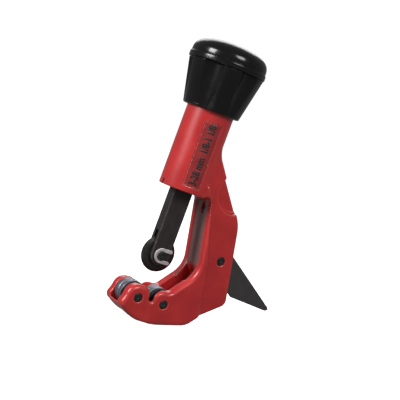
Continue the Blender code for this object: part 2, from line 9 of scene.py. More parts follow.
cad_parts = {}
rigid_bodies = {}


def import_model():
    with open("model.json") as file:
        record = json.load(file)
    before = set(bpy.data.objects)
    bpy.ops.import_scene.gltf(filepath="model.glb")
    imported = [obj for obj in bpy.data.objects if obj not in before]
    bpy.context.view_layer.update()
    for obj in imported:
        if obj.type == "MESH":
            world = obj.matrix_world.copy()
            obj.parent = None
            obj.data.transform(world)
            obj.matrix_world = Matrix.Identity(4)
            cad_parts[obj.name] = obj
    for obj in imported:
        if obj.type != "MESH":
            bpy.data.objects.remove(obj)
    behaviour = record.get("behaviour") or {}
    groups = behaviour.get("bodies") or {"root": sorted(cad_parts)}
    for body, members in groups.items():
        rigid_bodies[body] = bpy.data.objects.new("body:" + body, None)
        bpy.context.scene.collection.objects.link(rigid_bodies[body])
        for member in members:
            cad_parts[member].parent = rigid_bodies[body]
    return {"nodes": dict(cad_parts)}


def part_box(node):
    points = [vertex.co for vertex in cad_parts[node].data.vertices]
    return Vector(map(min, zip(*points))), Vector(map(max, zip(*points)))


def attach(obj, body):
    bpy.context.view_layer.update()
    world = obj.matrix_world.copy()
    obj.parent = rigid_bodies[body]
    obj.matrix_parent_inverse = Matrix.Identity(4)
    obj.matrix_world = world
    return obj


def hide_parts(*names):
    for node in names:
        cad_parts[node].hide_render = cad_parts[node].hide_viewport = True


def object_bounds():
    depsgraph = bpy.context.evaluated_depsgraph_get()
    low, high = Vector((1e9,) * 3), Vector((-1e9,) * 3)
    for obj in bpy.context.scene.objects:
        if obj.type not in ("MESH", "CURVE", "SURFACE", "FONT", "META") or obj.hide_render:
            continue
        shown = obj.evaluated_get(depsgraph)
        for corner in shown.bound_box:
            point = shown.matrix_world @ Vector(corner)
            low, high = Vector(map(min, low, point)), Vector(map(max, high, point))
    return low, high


for leftover in list(bpy.data.objects):
    bpy.data.objects.remove(leftover, do_unlink=True)
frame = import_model()
cad_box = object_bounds()

# Camera and studio: a long lens a little above the bench, rolled so that the tool leans. A
# soft box at the left, one high in front, a weak one low and one behind; the room is dim, and
# the pale floor shows to the camera only, so that it throws no light up at the tool.
MM = 0.001
SENSOR = 36.0
LENS = 101.36
CAMERA_PLACE = Vector((-0.30211, -0.51163, 0.09514))
TURN, RISE, ROLL = (math.radians(a) for a in (29.262, 2.604, 20.341))


def camera_axes(turn, rise, roll):
    """Columns right, up and back of a camera that looks from a turn and a rise, rolled on its axis."""
    away = math.cos(rise)
    back = Vector((-math.sin(turn) * away, -math.cos(turn) * away, math.sin(rise)))
    right = Vector((math.cos(turn), -math.sin(turn), 0.0))
    up = back.cross(right)
    rolled_right = math.cos(roll) * right + math.sin(roll) * up
    rolled_up = math.cos(roll) * up - math.sin(roll) * right
    return Matrix((rolled_right, rolled_up, back)).transposed().to_4x4()


camera = bpy.data.objects.new("camera", bpy.data.cameras.new("camera"))
camera.data.sensor_width = SENSOR
camera.data.lens = LENS
camera.data.clip_start = 0.01
camera.data.clip_end = 50.0
camera.matrix_world = Matrix.Translation(CAMERA_PLACE) @ camera_axes(TURN, RISE, ROLL)
bpy.context.scene.collection.objects.link(camera)
bpy.context.scene.camera = camera
bpy.context.scene.view_settings.view_transform = "Standard"


def soft_box(name, place, aim, width, height, watts):
    """A rectangular area light at place, facing aim."""
    light = bpy.data.lights.new(name, "AREA")
    light.shape = "RECTANGLE"
    light.size = width
    light.size_y = height
    light.energy = watts
    made = bpy.data.objects.new(name, light)
    made.location = place
    made.rotation_euler = (Vector(aim) - Vector(place)).to_track_quat("-Z", "Y").to_euler()
    bpy.context.scene.collection.objects.link(made)
    return made


TOOL_MIDDLE, JAW_MIDDLE = (0.0, 0.0, 0.075), (0.0, 0.0, 0.03)
soft_box("left_box", (-0.80, -0.05, 0.36), TOOL_MIDDLE, 0.30, 0.30, 6.2)
soft_box("front_box", (0.02, -0.72, 0.62), JAW_MIDDLE, 0.34, 0.34, 4.2)
soft_box("low_fill", (-0.45, -0.50, -0.30), JAW_MIDDLE, 0.30, 0.20, 0.5)
soft_box("back_box", (0.25, 0.75, 0.55), TOOL_MIDDLE, 0.60, 0.40, 1.5)

world = bpy.data.worlds.new("studio")
world.use_nodes = True
bpy.context.scene.world = world
ROOM_GREY, BACKDROP_WHITE = 0.20, 1.05
sky = world.node_tree.nodes["Background"]
seen = world.node_tree.nodes.new("ShaderNodeBackground")
seen.inputs["Strength"].default_value = BACKDROP_WHITE
sky.inputs["Color"].default_value = (1.0, 1.0, 1.0, 1.0)
seen.inputs["Color"].default_value = (1.0, 1.0, 1.0, 1.0)
sky.inputs["Strength"].default_value = ROOM_GREY
ray = world.node_tree.nodes.new("ShaderNodeLightPath")
choose = world.node_tree.nodes.new("ShaderNodeMixShader")
world.node_tree.links.new(ray.outputs["Is Camera Ray"], choose.inputs[0])
world.node_tree.links.new(sky.outputs[0], choose.inputs[1])
world.node_tree.links.new(seen.outputs[0], choose.inputs[2])
world.node_tree.links.new(choose.outputs[0], world.node_tree.nodes["World Output"].inputs["Surface"])


class Wire:
    """A value in a finish. Its sums, differences and products are Math nodes."""

    def __init__(self, finish, socket):
        self.finish = finish
        self.socket = socket

    def _math(self, operation, first, second):
        return self.finish.node("ShaderNodeMath", {"operation": operation}, {0: first, 1: second})

    def __add__(self, other):
        return self._math("ADD", self, other)

    def __sub__(self, other):
        return self._math("SUBTRACT", self, other)

    def __rsub__(self, other):
        return self._math("SUBTRACT", other, self)

    def __mul__(self, other):
        return self._math("MULTIPLY", self, other)

    def __rmul__(self, other):
        return self._math("MULTIPLY", other, self)


class Finish:
    """A procedural material: a Principled shader, its plain settings, and the nodes that vary it."""

    def __init__(self, name, plain):
        self.material = bpy.data.materials.new(name)
        self.material.use_nodes = True
        self.tree = self.material.node_tree
        self.shader = self.tree.nodes["Principled BSDF"]
        for socket, value in plain.items():
            self.shader.inputs[socket].default_value = value

    def node(self, kind, settings=None, inputs=None, out=0):
        """A node with its settings made first, then the values or wires of its sockets."""
        made = self.tree.nodes.new(kind)
        for name, value in (settings or {}).items():
            setattr(made, name, value)
        for name, value in (inputs or {}).items():
            self.feed(made.inputs[name], value)
        return Wire(self, made.outputs[out])

    def feed(self, socket, value):
        if isinstance(value, Wire):
            self.tree.links.new(value.socket, socket)
        else:
            socket.default_value = value

    def vary(self, socket, value):
        """Feeds one of the shader's own sockets."""
        self.feed(self.shader.inputs[socket], value)

    def place(self, size=(1.0, 1.0, 1.0), turn=(0.0, 0.0, 0.0), move=(0.0, 0.0, 0.0)):
        """Object coordinates, stretched so that a pattern cell is size millimetres."""
        where = self.node("ShaderNodeTexCoord", None, None, "Object")
        scale = tuple(1.0 / (s * MM) for s in size)
        inputs = {"Vector": where, "Scale": scale, "Rotation": turn, "Location": move}
        return self.node("ShaderNodeMapping", {"vector_type": "POINT"}, inputs)

    def along_piece(self, size):
        """The piece's own UV map, in cells of size millimetres round and along it."""
        where = self.node("ShaderNodeUVMap")
        scale = (1.0 / size[0], 1.0 / size[1], 1.0)
        return self.node("ShaderNodeMapping", {"vector_type": "POINT"}, {"Vector": where, "Scale": scale})

    def noise(self, where, detail=3.0, roughness=0.5):
        inputs = {"Vector": where, "Scale": 1.0, "Detail": detail, "Roughness": roughness}
        return self.node("ShaderNodeTexNoise", None, inputs, "Fac")

    def between(self, value, low, high, first=0.0, last=1.0):
        """value carried from low..high to first..last and held there past the ends."""
        inputs = {"Value": value, "From Min": low, "From Max": high, "To Min": first, "To Max": last}
        return self.node("ShaderNodeMapRange", {"clamp": True}, inputs)

    def mix(self, share, first, second):
        """Two colours mixed by share."""
        first, second = ((*c, 1.0) if isinstance(c, tuple) else c for c in (first, second))
        return self.node("ShaderNodeMix", {"data_type": "RGBA"}, {0: share, 6: first, 7: second}, 2)

    def attribute(self, name):
        return self.node("ShaderNodeAttribute", {"attribute_name": name}, None, "Fac")

    def relief(self, height, depth_mm, strength=1.0):
        """Feeds Normal with a bump whose height of 1 stands depth_mm out."""
        inputs = {"Strength": strength, "Distance": depth_mm * MM, "Height": height}
        self.vary("Normal", self.node("ShaderNodeBump", None, inputs))


def floor_sheet(half, height):
    """A square of side 2 x half at a height, seen from above."""
    corners = [(x * half, y * half, height) for x, y in ((-1, -1), (1, -1), (1, 1), (-1, 1))]
    mesh = bpy.data.meshes.new("floor")
    mesh.from_pydata(corners, [], [(0, 1, 2, 3)])
    made = bpy.data.objects.new("floor", mesh)
    bpy.context.scene.collection.objects.link(made)
    return made


floor_look = Finish("floor_white", {"Roughness": 0.9, "Specular IOR Level": 0.0, "Emission Strength": 1.12})
FLOOR_HALF, FLOOR_DROP = 6.0, 0.0001
grain = floor_look.noise(floor_look.place((60.0, 60.0, 60.0)))
floor_look.vary("Base Color", floor_look.mix(grain, (0.80, 0.80, 0.80), (0.84, 0.84, 0.84)))
floor_look.vary("Emission Color", floor_look.mix(grain, (0.98, 0.98, 0.98), (1.0, 1.0, 1.0)))
floor = floor_sheet(FLOOR_HALF, cad_box[0].z - FLOOR_DROP)
floor.data.materials.append(floor_look.material)
floor.visible_glossy = False
floor.visible_diffuse = False

# Frame: one zinc die casting, stoved with red gloss paint. A thick-rimmed C carries the
# rollers, a thinner web stands behind it, and the barrel for the slide is on top; every
# edge has its casting radius and every inside corner its fillet.
screw_low, screw_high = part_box("feed_screw")
frame_low, frame_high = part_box("frame")
BARREL_R, BARREL_TOP = 12.5, 44.2
BORE_R, BORE_TOP, NECK_R = 9.6, 40.2, 4.15
AXIS_X = (screw_low.x + screw_high.x) / 2
RIM_Z = frame_high.z - BARREL_TOP * MM
JAW_HALF, WEB_HALF = 11.0, 8.0
SLOT_HALF, CHANNEL_HALF, BLADE_SLOT_HALF = 5.2, 6.7, 1.6
PIN_SPACING, PIN_Z, PIN_R = 15.2, -58.5, 2.25
LOBE_R = 6.4
REAMER_X, REAMER_Z = 32.6, -28.7
SLIT_X, SLIT_LONG_HALF, SLIT_HALF, SLIT_Z, SLIT_HIGH_HALF = 15.5, 4.5, 1.05, -4.7, 3.1
EYE_X, EYE_LONG_HALF, EYE_Z, EYE_R = 15.0, 4.0, -4.4, 2.0
NOTCH_END, NOTCH_HALF, NOTCH_LEAN, NOTCH_Z, NOTCH_HIGH_HALF = -8.0, 0.9, 0.07, 1.0, 2.0
HOLE_PLAY = 0.1
CASTING_PITCH = 0.42
PANEL_START, PANEL_END, PANEL_LOW, PANEL_HIGH, PANEL_R = -121.5, -75.5, 3.1, 37.5, 12.2


def rounded(corners, step_deg=4.0):
    """A polygon of corners (x, z, radius), each corner replaced by the arc that touches both sides."""
    corners = np.array(corners, float)
    points = []
    for (x, z, radius), before, after in zip(corners, np.roll(corners, 1, 0), np.roll(corners, -1, 0)):
        if radius <= 0:
            points.append([(x, z)])
            continue
        back = math.atan2(before[1] - z, before[0] - x)
        turn = (math.atan2(after[1] - z, after[0] - x) - back) % (2 * math.pi)
        side = 1.0 if turn <= math.pi else -1.0
        turn = min(turn, 2 * math.pi - turn)
        middle = back + side * turn / 2
        centre = np.array([x + radius / math.sin(turn / 2) * math.cos(middle),
                           z + radius / math.sin(turn / 2) * math.sin(middle)])
        first = back - side * math.pi / 2
        sweep = -side * (math.pi - turn)
        steps = max(2, round(abs(math.degrees(sweep)) / step_deg))
        angle = first + sweep * np.arange(steps + 1) / steps
        points.append(centre + radius * np.stack([np.cos(angle), np.sin(angle)], -1))
    return np.concatenate(points)


def outline_distance(x, z, outline):
    """Distance to the nearest side of a closed outline; negative where a level ray crosses it an odd
    number of times."""
    nearest = np.full(np.broadcast(x, z).shape, np.inf)
    inside = np.zeros(nearest.shape, bool)
    for (x0, z0), (x1, z1) in zip(outline, np.roll(outline, -1, 0)):
        run, rise = x1 - x0, z1 - z0
        length = run * run + rise * rise
        if length == 0:
            continue
        share = np.clip(((x - x0) * run + (z - z0) * rise) / length, 0, 1)
        nearest = np.minimum(nearest, (x - x0 - share * run) ** 2 + (z - z0 - share * rise) ** 2)
        if rise != 0:
            inside ^= ((z0 > z) != (z1 > z)) & (x < x0 + (z - z0) * run / rise)
    nearest = np.sqrt(nearest)
    return np.where(inside, -nearest, nearest)


def joined(a, b, fillet):
    """Both bodies, with a fillet of that radius where they meet."""
    corner = np.hypot(np.maximum(fillet - a, 0), np.maximum(fillet - b, 0))
    return np.maximum(fillet, np.minimum(a, b)) - corner


def common(a, b, edge):
    """Where both bodies are, with their shared edge rounded to that radius."""
    corner = np.hypot(np.maximum(edge + a, 0), np.maximum(edge + b, 0))
    return np.minimum(-edge, np.maximum(a, b)) + corner


def less(a, b, edge):
    """The first body without the second, with the cut's edge rounded to that radius."""
    return common(a, -b, edge)


LOBE_TOP = PIN_Z + LOBE_R + 0.2
half_spacing = PIN_SPACING / 2
jaw_outline = rounded(
    [
        (8.6, 8.5, 1.0), (13.2, 2.0, 5.0), (25.2, -32.3, 20.0), (30.8, -59.9, 3.0), (25.0, -66.2, 10.0),
        (6.0, -70.4, 40.0), (-6.0, -70.4, 22.0), (-16.5, -63.9, 3.2),
        (-half_spacing - LOBE_R - 0.2, PIN_Z - 0.5, 8.0), (-half_spacing - LOBE_R - 0.2, LOBE_TOP, LOBE_R),
        (-0.95, LOBE_TOP, LOBE_R - 1.3), (-0.95, PIN_Z + 0.2, 0.9), (0.95, PIN_Z + 0.2, 0.9),
        (0.95, LOBE_TOP, LOBE_R - 1.3), (half_spacing + 1.8, LOBE_TOP, 4.0),
        (21.5, -38.0, 13.0), (13.3, 0.5, 4.0), (8.0, 0.5, 0.0),
    ]
)
web_outline = rounded(
    [
        (7.5, 28.4, 0.0), (35.9, -7.0, 21.0), (45.5, -50.2, 4.5), (29.0, -62.2, 0.0), (20.0, -64.0, 0.0),
        (24.0, -45.0, 0.0), (22.6, -34.0, 0.0), (16.8, -10.0, 0.0), (14.8, -2.0, 0.0), (7.5, 1.5, 0.0),
    ]
)
slot_outline = rounded(
    [
        (-25.0, -40.0, 0.0), (15.0, -40.0, 0.0), (21.0, -34.0, 0.0), (23.0, -38.0, 3.0), (29.0, -45.0, 7.0),
        (27.5, -58.0, 6.0), (17.0, -66.3, 5.0), (-9.0, -66.3, 3.0), (-13.6, -64.2, 0.0), (-25.0, -61.0, 0.0),
    ]
)
channel_outline = rounded(
    [(5.0, -1.9, 0.0), (14.9, -1.9, 1.2), (21.5, -34.0, 6.0), (17.3, -43.4, 0.0), (5.0, -43.4, 0.0)]
)
blade_slot_outline = np.array(
    [
        (14.0, 17.2), (23.1, -30.5), (23.6, -32.6), (26.2, -34.4), (29.0, -35.4), (50.2, -46.8),
        (60.0, -46.8), (60.0, 17.2),
    ]
)
SCOOP_X, SCOOP_Z, SCOOP_R, SCOOP_DEPTH = 27.6, 7.0, 10.7, 3.6


def casting(x, y, z):
    """Distance to the casting's skin: barrel, web and rimmed jaw joined with fillets, less its slots and
    holes. Each body is the wider of its distances from the sides that bound it."""
    radius = np.hypot(x, y)
    off_middle = np.abs(y)
    barrel = common(radius - BARREL_R, np.abs(z - BARREL_TOP / 2) - BARREL_TOP / 2, 0.7)
    web = common(outline_distance(x, z, web_outline), off_middle - WEB_HALF, 2.2)
    jaw = common(outline_distance(x, z, jaw_outline), off_middle - JAW_HALF, 2.2)
    body = joined(joined(barrel, web, 2.4), jaw, 2.4)
    slot = common(outline_distance(x, z, slot_outline), off_middle - SLOT_HALF, 0.8)
    body = less(body, slot, 0.7)
    channel = common(outline_distance(x, z, channel_outline), off_middle - CHANNEL_HALF, 1.0)
    body = less(body, channel, 1.0)
    blade_slot = np.maximum(outline_distance(x, z, blade_slot_outline), off_middle - BLADE_SLOT_HALF)
    body = less(body, blade_slot, 0.4)
    slit = np.maximum(np.abs(x - SLIT_X) - SLIT_LONG_HALF, off_middle - SLIT_HALF)
    slit = np.maximum(slit, np.abs(z - SLIT_Z) - SLIT_HIGH_HALF)
    eye = np.maximum(np.hypot(off_middle, z - EYE_Z) - EYE_R, np.abs(x - EYE_X) - EYE_LONG_HALF)
    body = less(body, np.minimum(slit, eye), 0.25)
    scoop = common(np.hypot(x - SCOOP_X, z - SCOOP_Z) - SCOOP_R, WEB_HALF - SCOOP_DEPTH - off_middle, 1.8)
    body = less(body, scoop, 0.6)
    for hole_x, hole_z in ((-half_spacing, PIN_Z), (half_spacing, PIN_Z), (REAMER_X, REAMER_Z)):
        body = less(body, np.hypot(x - hole_x, z - hole_z) - PIN_R - HOLE_PLAY, 0.3)
    notch = np.maximum(np.abs(y + NOTCH_LEAN * np.abs(x)) - NOTCH_HALF, x - NOTCH_END)
    notch = np.maximum(notch, np.abs(z - NOTCH_Z) - NOTCH_HIGH_HALF)
    body = less(body, notch, 0.2)
    angle = np.degrees(np.arctan2(y, x))
    past_side = np.abs(angle - (PANEL_START + PANEL_END) / 2) - (PANEL_END - PANEL_START) / 2
    across = np.radians(past_side) * BARREL_R
    upright = np.abs(z - (PANEL_LOW + PANEL_HIGH) / 2) - (PANEL_HIGH - PANEL_LOW) / 2
    body = less(body, np.maximum(np.maximum(across, upright), PANEL_R - radius), 0.12)
    bore = np.minimum(common(radius - BORE_R, z - BORE_TOP, 0.6), radius - NECK_R)
    return less(body, bore, 0.5)


def read_grid(values, cells):
    """Values between the points of a grid, weighted by how near each of the eight corners is."""
    base = np.clip(np.floor(cells).astype(int), 0, np.array(values.shape) - 2)
    part = cells - base
    total = 0.0
    for corner in np.ndindex(2, 2, 2):
        weight = np.prod(np.where(corner, part, 1 - part), axis=1)
        total = total + weight * values[tuple((base + corner).T)]
    return total


def skin_of(name, distance, low, high, pitch):
    """The surface where a distance is zero. One point in each grid cell that the surface crosses, at the
    mean of its crossings and then moved down the slope onto the surface; a face round each edge it
    crosses."""
    axes = [np.arange(a, b + pitch, pitch) for a, b in zip(low, high)]
    x, y, z = np.meshgrid(*axes, indexing="ij", sparse=True)
    values = np.broadcast_to(distance(x, y, z), [len(a) for a in axes]).copy()
    inside = values < 0
    shape = np.array(values.shape) - 1
    corners = list(np.ndindex(2, 2, 2))
    window = [tuple(slice(c, c + n) for c, n in zip(corner, shape)) for corner in corners]
    count = sum(inside[w].astype(np.int8) for w in window)
    crossed = (count > 0) & (count < 8)
    cells = np.argwhere(crossed)
    number = np.full(crossed.shape, -1)
    number[crossed] = np.arange(len(cells))
    at_corner = [values[w][crossed] for w in window]
    total = np.zeros((len(cells), 3))
    hits = np.zeros(len(cells))
    for i, first in enumerate(corners):
        for j, second in enumerate(corners):
            if i < j and sum(a != b for a, b in zip(first, second)) == 1:
                a, b = at_corner[i], at_corner[j]
                cross = (a < 0) != (b < 0)
                share = np.where(cross, a / np.where(cross, a - b, 1.0), 0.0)
                spot = np.array(first) + share[:, None] * (np.array(second) - np.array(first))
                total += spot * cross[:, None]
                hits += cross
    points = cells + total / hits[:, None]
    slopes = np.gradient(values)
    bend = sum(np.gradient(s, axis=k) for k, s in enumerate(slopes)) / pitch**2
    origin = np.array(low)
    for _ in range(2):
        where = origin + points * pitch
        gap = distance(*where.T) / pitch
        slope = np.stack([read_grid(s, points) for s in slopes], -1) / pitch
        size = np.maximum((slope**2).sum(1), 0.3)
        step = -gap / size
        points = points + slope * np.clip(step, -0.6, 0.6)[:, None]
    faces = []
    for axis in range(3):
        one, two = [k for k in range(3) if k != axis]
        near = tuple(slice(0, -1) if k == axis else slice(1, -1) for k in range(3))
        far = tuple(slice(1, None) if k == axis else slice(1, -1) for k in range(3))
        start, end = inside[near], inside[far]
        edges = np.argwhere(start != end)
        leaving = start[tuple(edges.T)]
        edges[:, one] += 1
        edges[:, two] += 1
        ring = []
        for back_one, back_two in ((1, 1), (0, 1), (0, 0), (1, 0)):
            cell = edges.copy()
            cell[:, one] -= back_one
            cell[:, two] -= back_two
            ring.append(number[tuple(cell.T)])
        quads = np.stack(ring, -1)
        turned = leaving if axis != 1 else ~leaving
        faces.append(np.where(turned[:, None], quads, quads[:, ::-1]))
    made = mesh_piece(name, (origin + points * pitch), np.concatenate(faces))
    edge = made.data.attributes.new("edge", "FLOAT", "POINT")
    edge.data.foreach_set("value", read_grid(bend, points).astype(np.float32))
    return made


def mesh_piece(name, points, quads, caps=(), uv=None):
    """A closed, smooth-shaded mesh in the row frame, from points in millimetres counted from the
    screw's axis and the barrel's rim. Its faces are turned round if the volume that they enclose
    comes out negative."""
    faces = [list(f) for f in quads] + [list(c) for c in caps]
    corners = [(f[0], f[k], f[k + 1]) for f in caps for k in range(1, len(f) - 1)]
    corners = np.array(corners, int).reshape(-1, 3)
    corners = np.concatenate([np.asarray(quads)[:, [0, 1, 2]], np.asarray(quads)[:, [0, 2, 3]], corners])
    placed = np.asarray(points) * MM + (AXIS_X, 0.0, RIM_Z)
    if np.linalg.det(placed[corners] - placed.mean(0)).sum() < 0:
        faces = [f[::-1] for f in faces]
        uv = None if uv is None else uv[:, ::-1]
    mesh = bpy.data.meshes.new(name)
    mesh.from_pydata(placed.tolist(), [], faces)
    if uv is not None:
        loops = np.zeros((len(mesh.loops), 2), np.float32)
        loops[: uv.shape[0] * 4] = uv.reshape(-1, 2)
        mesh.uv_layers.new(name="surface").data.foreach_set("uv", loops.ravel())
    mesh.shade_smooth()
    made = bpy.data.objects.new(name, mesh)
    bpy.context.scene.collection.objects.link(made)
    return made


reach = 1.5
casting_low = [(frame_low.x - AXIS_X) / MM - reach, frame_low.y / MM - reach]
casting_low.append((frame_low.z - RIM_Z) / MM - reach)
casting_high = [(frame_high.x - AXIS_X) / MM + reach, frame_high.y / MM + reach, BARREL_TOP + reach]
frame_casting = skin_of("frame_casting", casting, casting_low, casting_high, CASTING_PITCH)
# The floor of the channel is tinted a dull pale grey in the paint below, so that its points are marked.
spots = np.array([v.co for v in frame_casting.data.vertices]) / MM - (AXIS_X / MM, 0.0, RIM_Z / MM)
depth = outline_distance(spots[:, 0], spots[:, 2], channel_outline)
MARK_FADE, MARK_PAST, MARK_FROM_X = 0.8, 0.3, 10.0
near_floor = np.clip(1 - np.abs(depth) / MARK_FADE, 0, 1)
in_channel = (np.abs(spots[:, 1]) < CHANNEL_HALF + MARK_PAST) * (spots[:, 0] > MARK_FROM_X)
marked = near_floor * in_channel
channel_mark = frame_casting.data.attributes.new("channel", "FLOAT", "POINT")
channel_mark.data.foreach_set("value", marked.astype(np.float32))

# The lighter edge red is a painted highlight for the rounded outer edges; DEEP_RED serves both the random
# clouding and the painted shade in inside corners.
RED, DEEP_RED, EDGE_HIGHLIGHT_RED = (0.56, 0.024, 0.025), (0.45, 0.018, 0.019), (0.58, 0.055, 0.050)
BARE_ZINC, DULL_GREY = (0.42, 0.40, 0.39), (0.16, 0.105, 0.105)
paint_values = {"Metallic": 0.0, "Coat Roughness": 0.20, "Coat IOR": 1.5, "Coat Weight": 0.28}
paint = Finish("red_gloss_paint", paint_values)
cloud = paint.noise(paint.place((14.0, 14.0, 14.0)), 3.0)
fleck = paint.noise(paint.place((0.9, 0.9, 0.9)), 4.0, 0.6)
edge = paint.attribute("edge")
colour = paint.mix(paint.between(cloud, 0.35, 0.65), DEEP_RED, RED)
# Painted shade: the red is darkened towards DEEP_RED in the inside corners and fillets, where the bend of the
# skin is negative.
colour = paint.mix(paint.between(edge, -0.10, -0.9, 0.0, 0.45), colour, DEEP_RED)
# Painted highlight: the rounded outer edges, where the bend is positive, are lightened to a paler orange red.
colour = paint.mix(paint.between(edge, 0.25, 0.9, 0.0, 0.5), colour, EDGE_HIGHLIGHT_RED)
colour = paint.mix(paint.attribute("channel") * 0.8, colour, DULL_GREY)
chipped = paint.between(fleck * paint.between(edge, 0.7, 1.6), 0.62, 0.66)
paint.vary("Base Color", paint.mix(chipped, colour, BARE_ZINC))
scuffs = paint.noise(paint.place((0.25, 2.2, 5.0), (0.5, 0.4, 0.2)), 2.0, 0.6)
clouded = paint.between(cloud, 0.3, 0.7, 0.27, 0.40)
paint.vary("Roughness", clouded + paint.between(scuffs, 0.62, 0.75, 0.0, 0.15))
peel = paint.noise(paint.place((1.3, 1.3, 1.3)), 1.0)
swell = paint.noise(paint.place((9.0, 9.0, 9.0)), 1.0)
paint.relief(peel * 0.16 + swell - chipped * 0.6, 0.03)
frame_casting.data.materials.append(paint.material)
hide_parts("frame")
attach(frame_casting, "frame_body")

# Size plate: a thin printed plate in the barrel's shallow panel. It carries only the range
# of tube that the tool takes, in black, inside a fine pale line.
PLATE_R, PLATE_THICK, PLATE_GAP = PANEL_R + 0.22, 0.18, 0.25


def swept(name, rings, closed=False, uv=None, sharp_deg=None):
    """Quads between neighbours of a grid of points [ring, place round it, 3]. Each ring closes on
    itself; the last ring meets the first if closed, and otherwise both end rings get a face. uv has
    one more column than a ring."""
    rows, around, _ = rings.shape
    index = np.arange(rows * around).reshape(rows, around)
    low, high = (index, np.roll(index, -1, 0)) if closed else (index[:-1], index[1:])
    quads = np.stack([low, np.roll(low, -1, 1), np.roll(high, -1, 1), high], -1).reshape(-1, 4)
    caps = () if closed else (index[0][::-1], index[-1])
    if uv is not None:
        a, b = (uv[:-1], uv[1:]) if uv.shape[0] == rows + closed else (uv, uv)
        uv = np.stack([a[:, :-1], a[:, 1:], b[:, 1:], b[:, :-1]], -2).reshape(-1, 4, 2)
    made = mesh_piece(name, rings.reshape(-1, 3), quads, caps, uv)
    if sharp_deg:
        made.data.set_sharp_from_angle(angle=math.radians(sharp_deg))
    return made


def size_plate():
    """An arc of the barrel's circle, thickened inwards and carried up the barrel between two heights."""
    first, last = (math.radians(a + s * PLATE_GAP * 5) for a, s in ((PANEL_START, 1), (PANEL_END, -1)))
    turn = np.linspace(first, last, 41)
    angle = np.concatenate([turn, turn[::-1]])
    radius = np.concatenate([np.full(41, PLATE_R), np.full(41, PLATE_R - PLATE_THICK)])
    heights = np.linspace(PANEL_LOW + PLATE_GAP, PANEL_HIGH - PLATE_GAP, 30)
    level = radius * np.cos(angle), radius * np.sin(angle)
    rings = np.stack(np.broadcast_arrays(*level, heights[:, None]), -1)
    wide = np.append((angle - first) * PLATE_R, 0.0)
    uv = np.stack(np.broadcast_arrays(wide, heights[:, None] - heights[0]), -1)
    return swept("size_plate", rings, uv=uv, sharp_deg=40), (last - first) * PLATE_R, heights[-1] - heights[0]


plate, plate_wide, plate_high = size_plate()
plate_look = Finish("plate_paint", {"Metallic": 0.0, "Coat Weight": 0.2, "Coat Roughness": 0.2})
across = plate_look.node("ShaderNodeSeparateXYZ", None, {0: plate_look.node("ShaderNodeUVMap")})
up = Wire(plate_look, across.socket.node.outputs[1])
from_side = plate_look.node("ShaderNodeMath", {"operation": "MINIMUM"}, {0: across, 1: plate_wide - across})
from_end = plate_look.node("ShaderNodeMath", {"operation": "MINIMUM"}, {0: up, 1: plate_high - up})
from_edge = plate_look.node("ShaderNodeMath", {"operation": "MINIMUM"}, {0: from_side, 1: from_end})
worn = plate_look.noise(plate_look.place((1.2, 1.2, 1.2)), 4.0, 0.6)
pale_line = plate_look.between(from_edge, 0.22, 0.34, 0.75, 0.0) * plate_look.between(worn, 0.42, 0.60)
cloud = plate_look.noise(plate_look.place((6.0, 6.0, 6.0)), 3.0)
ground = plate_look.mix(plate_look.between(cloud, 0.3, 0.7), (0.26, 0.014, 0.016), (0.34, 0.020, 0.022))
plate_look.vary("Base Color", plate_look.mix(pale_line, ground, (0.40, 0.25, 0.24)))
plate_look.vary("Roughness", plate_look.between(cloud, 0.3, 0.7, 0.36, 0.48))
plate_look.relief(worn, 0.015)
plate.data.materials.append(plate_look.material)
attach(plate, "frame_body")

MARKING, MARKING_LENGTH, MARKING_DEG, LETTER_TALL = "3-28 mm  1/8-1 1/8", 32.0, -98.5, 1.35
text = bpy.data.curves.new("marking", "FONT")
text.body = MARKING
text.align_x = "CENTER"
text.align_y = "CENTER"
text.offset = 0.045
text.resolution_u = 3
flat_text = bpy.data.objects.new("marking_text", text)
bpy.context.scene.collection.objects.link(flat_text)
bpy.context.view_layer.update()
flat_mesh = bpy.data.meshes.new_from_object(flat_text.evaluated_get(bpy.context.evaluated_depsgraph_get()))
bpy.data.objects.remove(flat_text, do_unlink=True)
cut_up = bmesh.new()
cut_up.from_mesh(flat_mesh)
bmesh.ops.remove_doubles(cut_up, verts=cut_up.verts, dist=1e-5)
bmesh.ops.triangulate(cut_up, faces=cut_up.faces)
LONG_EDGE = 0.12
long_edges = [e for e in cut_up.edges if e.calc_length() > LONG_EDGE]
bmesh.ops.subdivide_edges(cut_up, edges=long_edges, cuts=3, use_grid_fill=True)
bmesh.ops.triangulate(cut_up, faces=cut_up.faces)
raised = bmesh.ops.extrude_face_region(cut_up, geom=cut_up.faces[:])["geom"]
INK_LOW, INK_HIGH = PLATE_R + 0.004, PLATE_R + 0.05
lifted = {v for v in raised if isinstance(v, bmesh.types.BMVert)}
for v in cut_up.verts:
    v.co.z = INK_HIGH if v in lifted else INK_LOW
bmesh.ops.recalc_face_normals(cut_up, faces=cut_up.faces)
cut_up.to_mesh(flat_mesh)
cut_up.free()
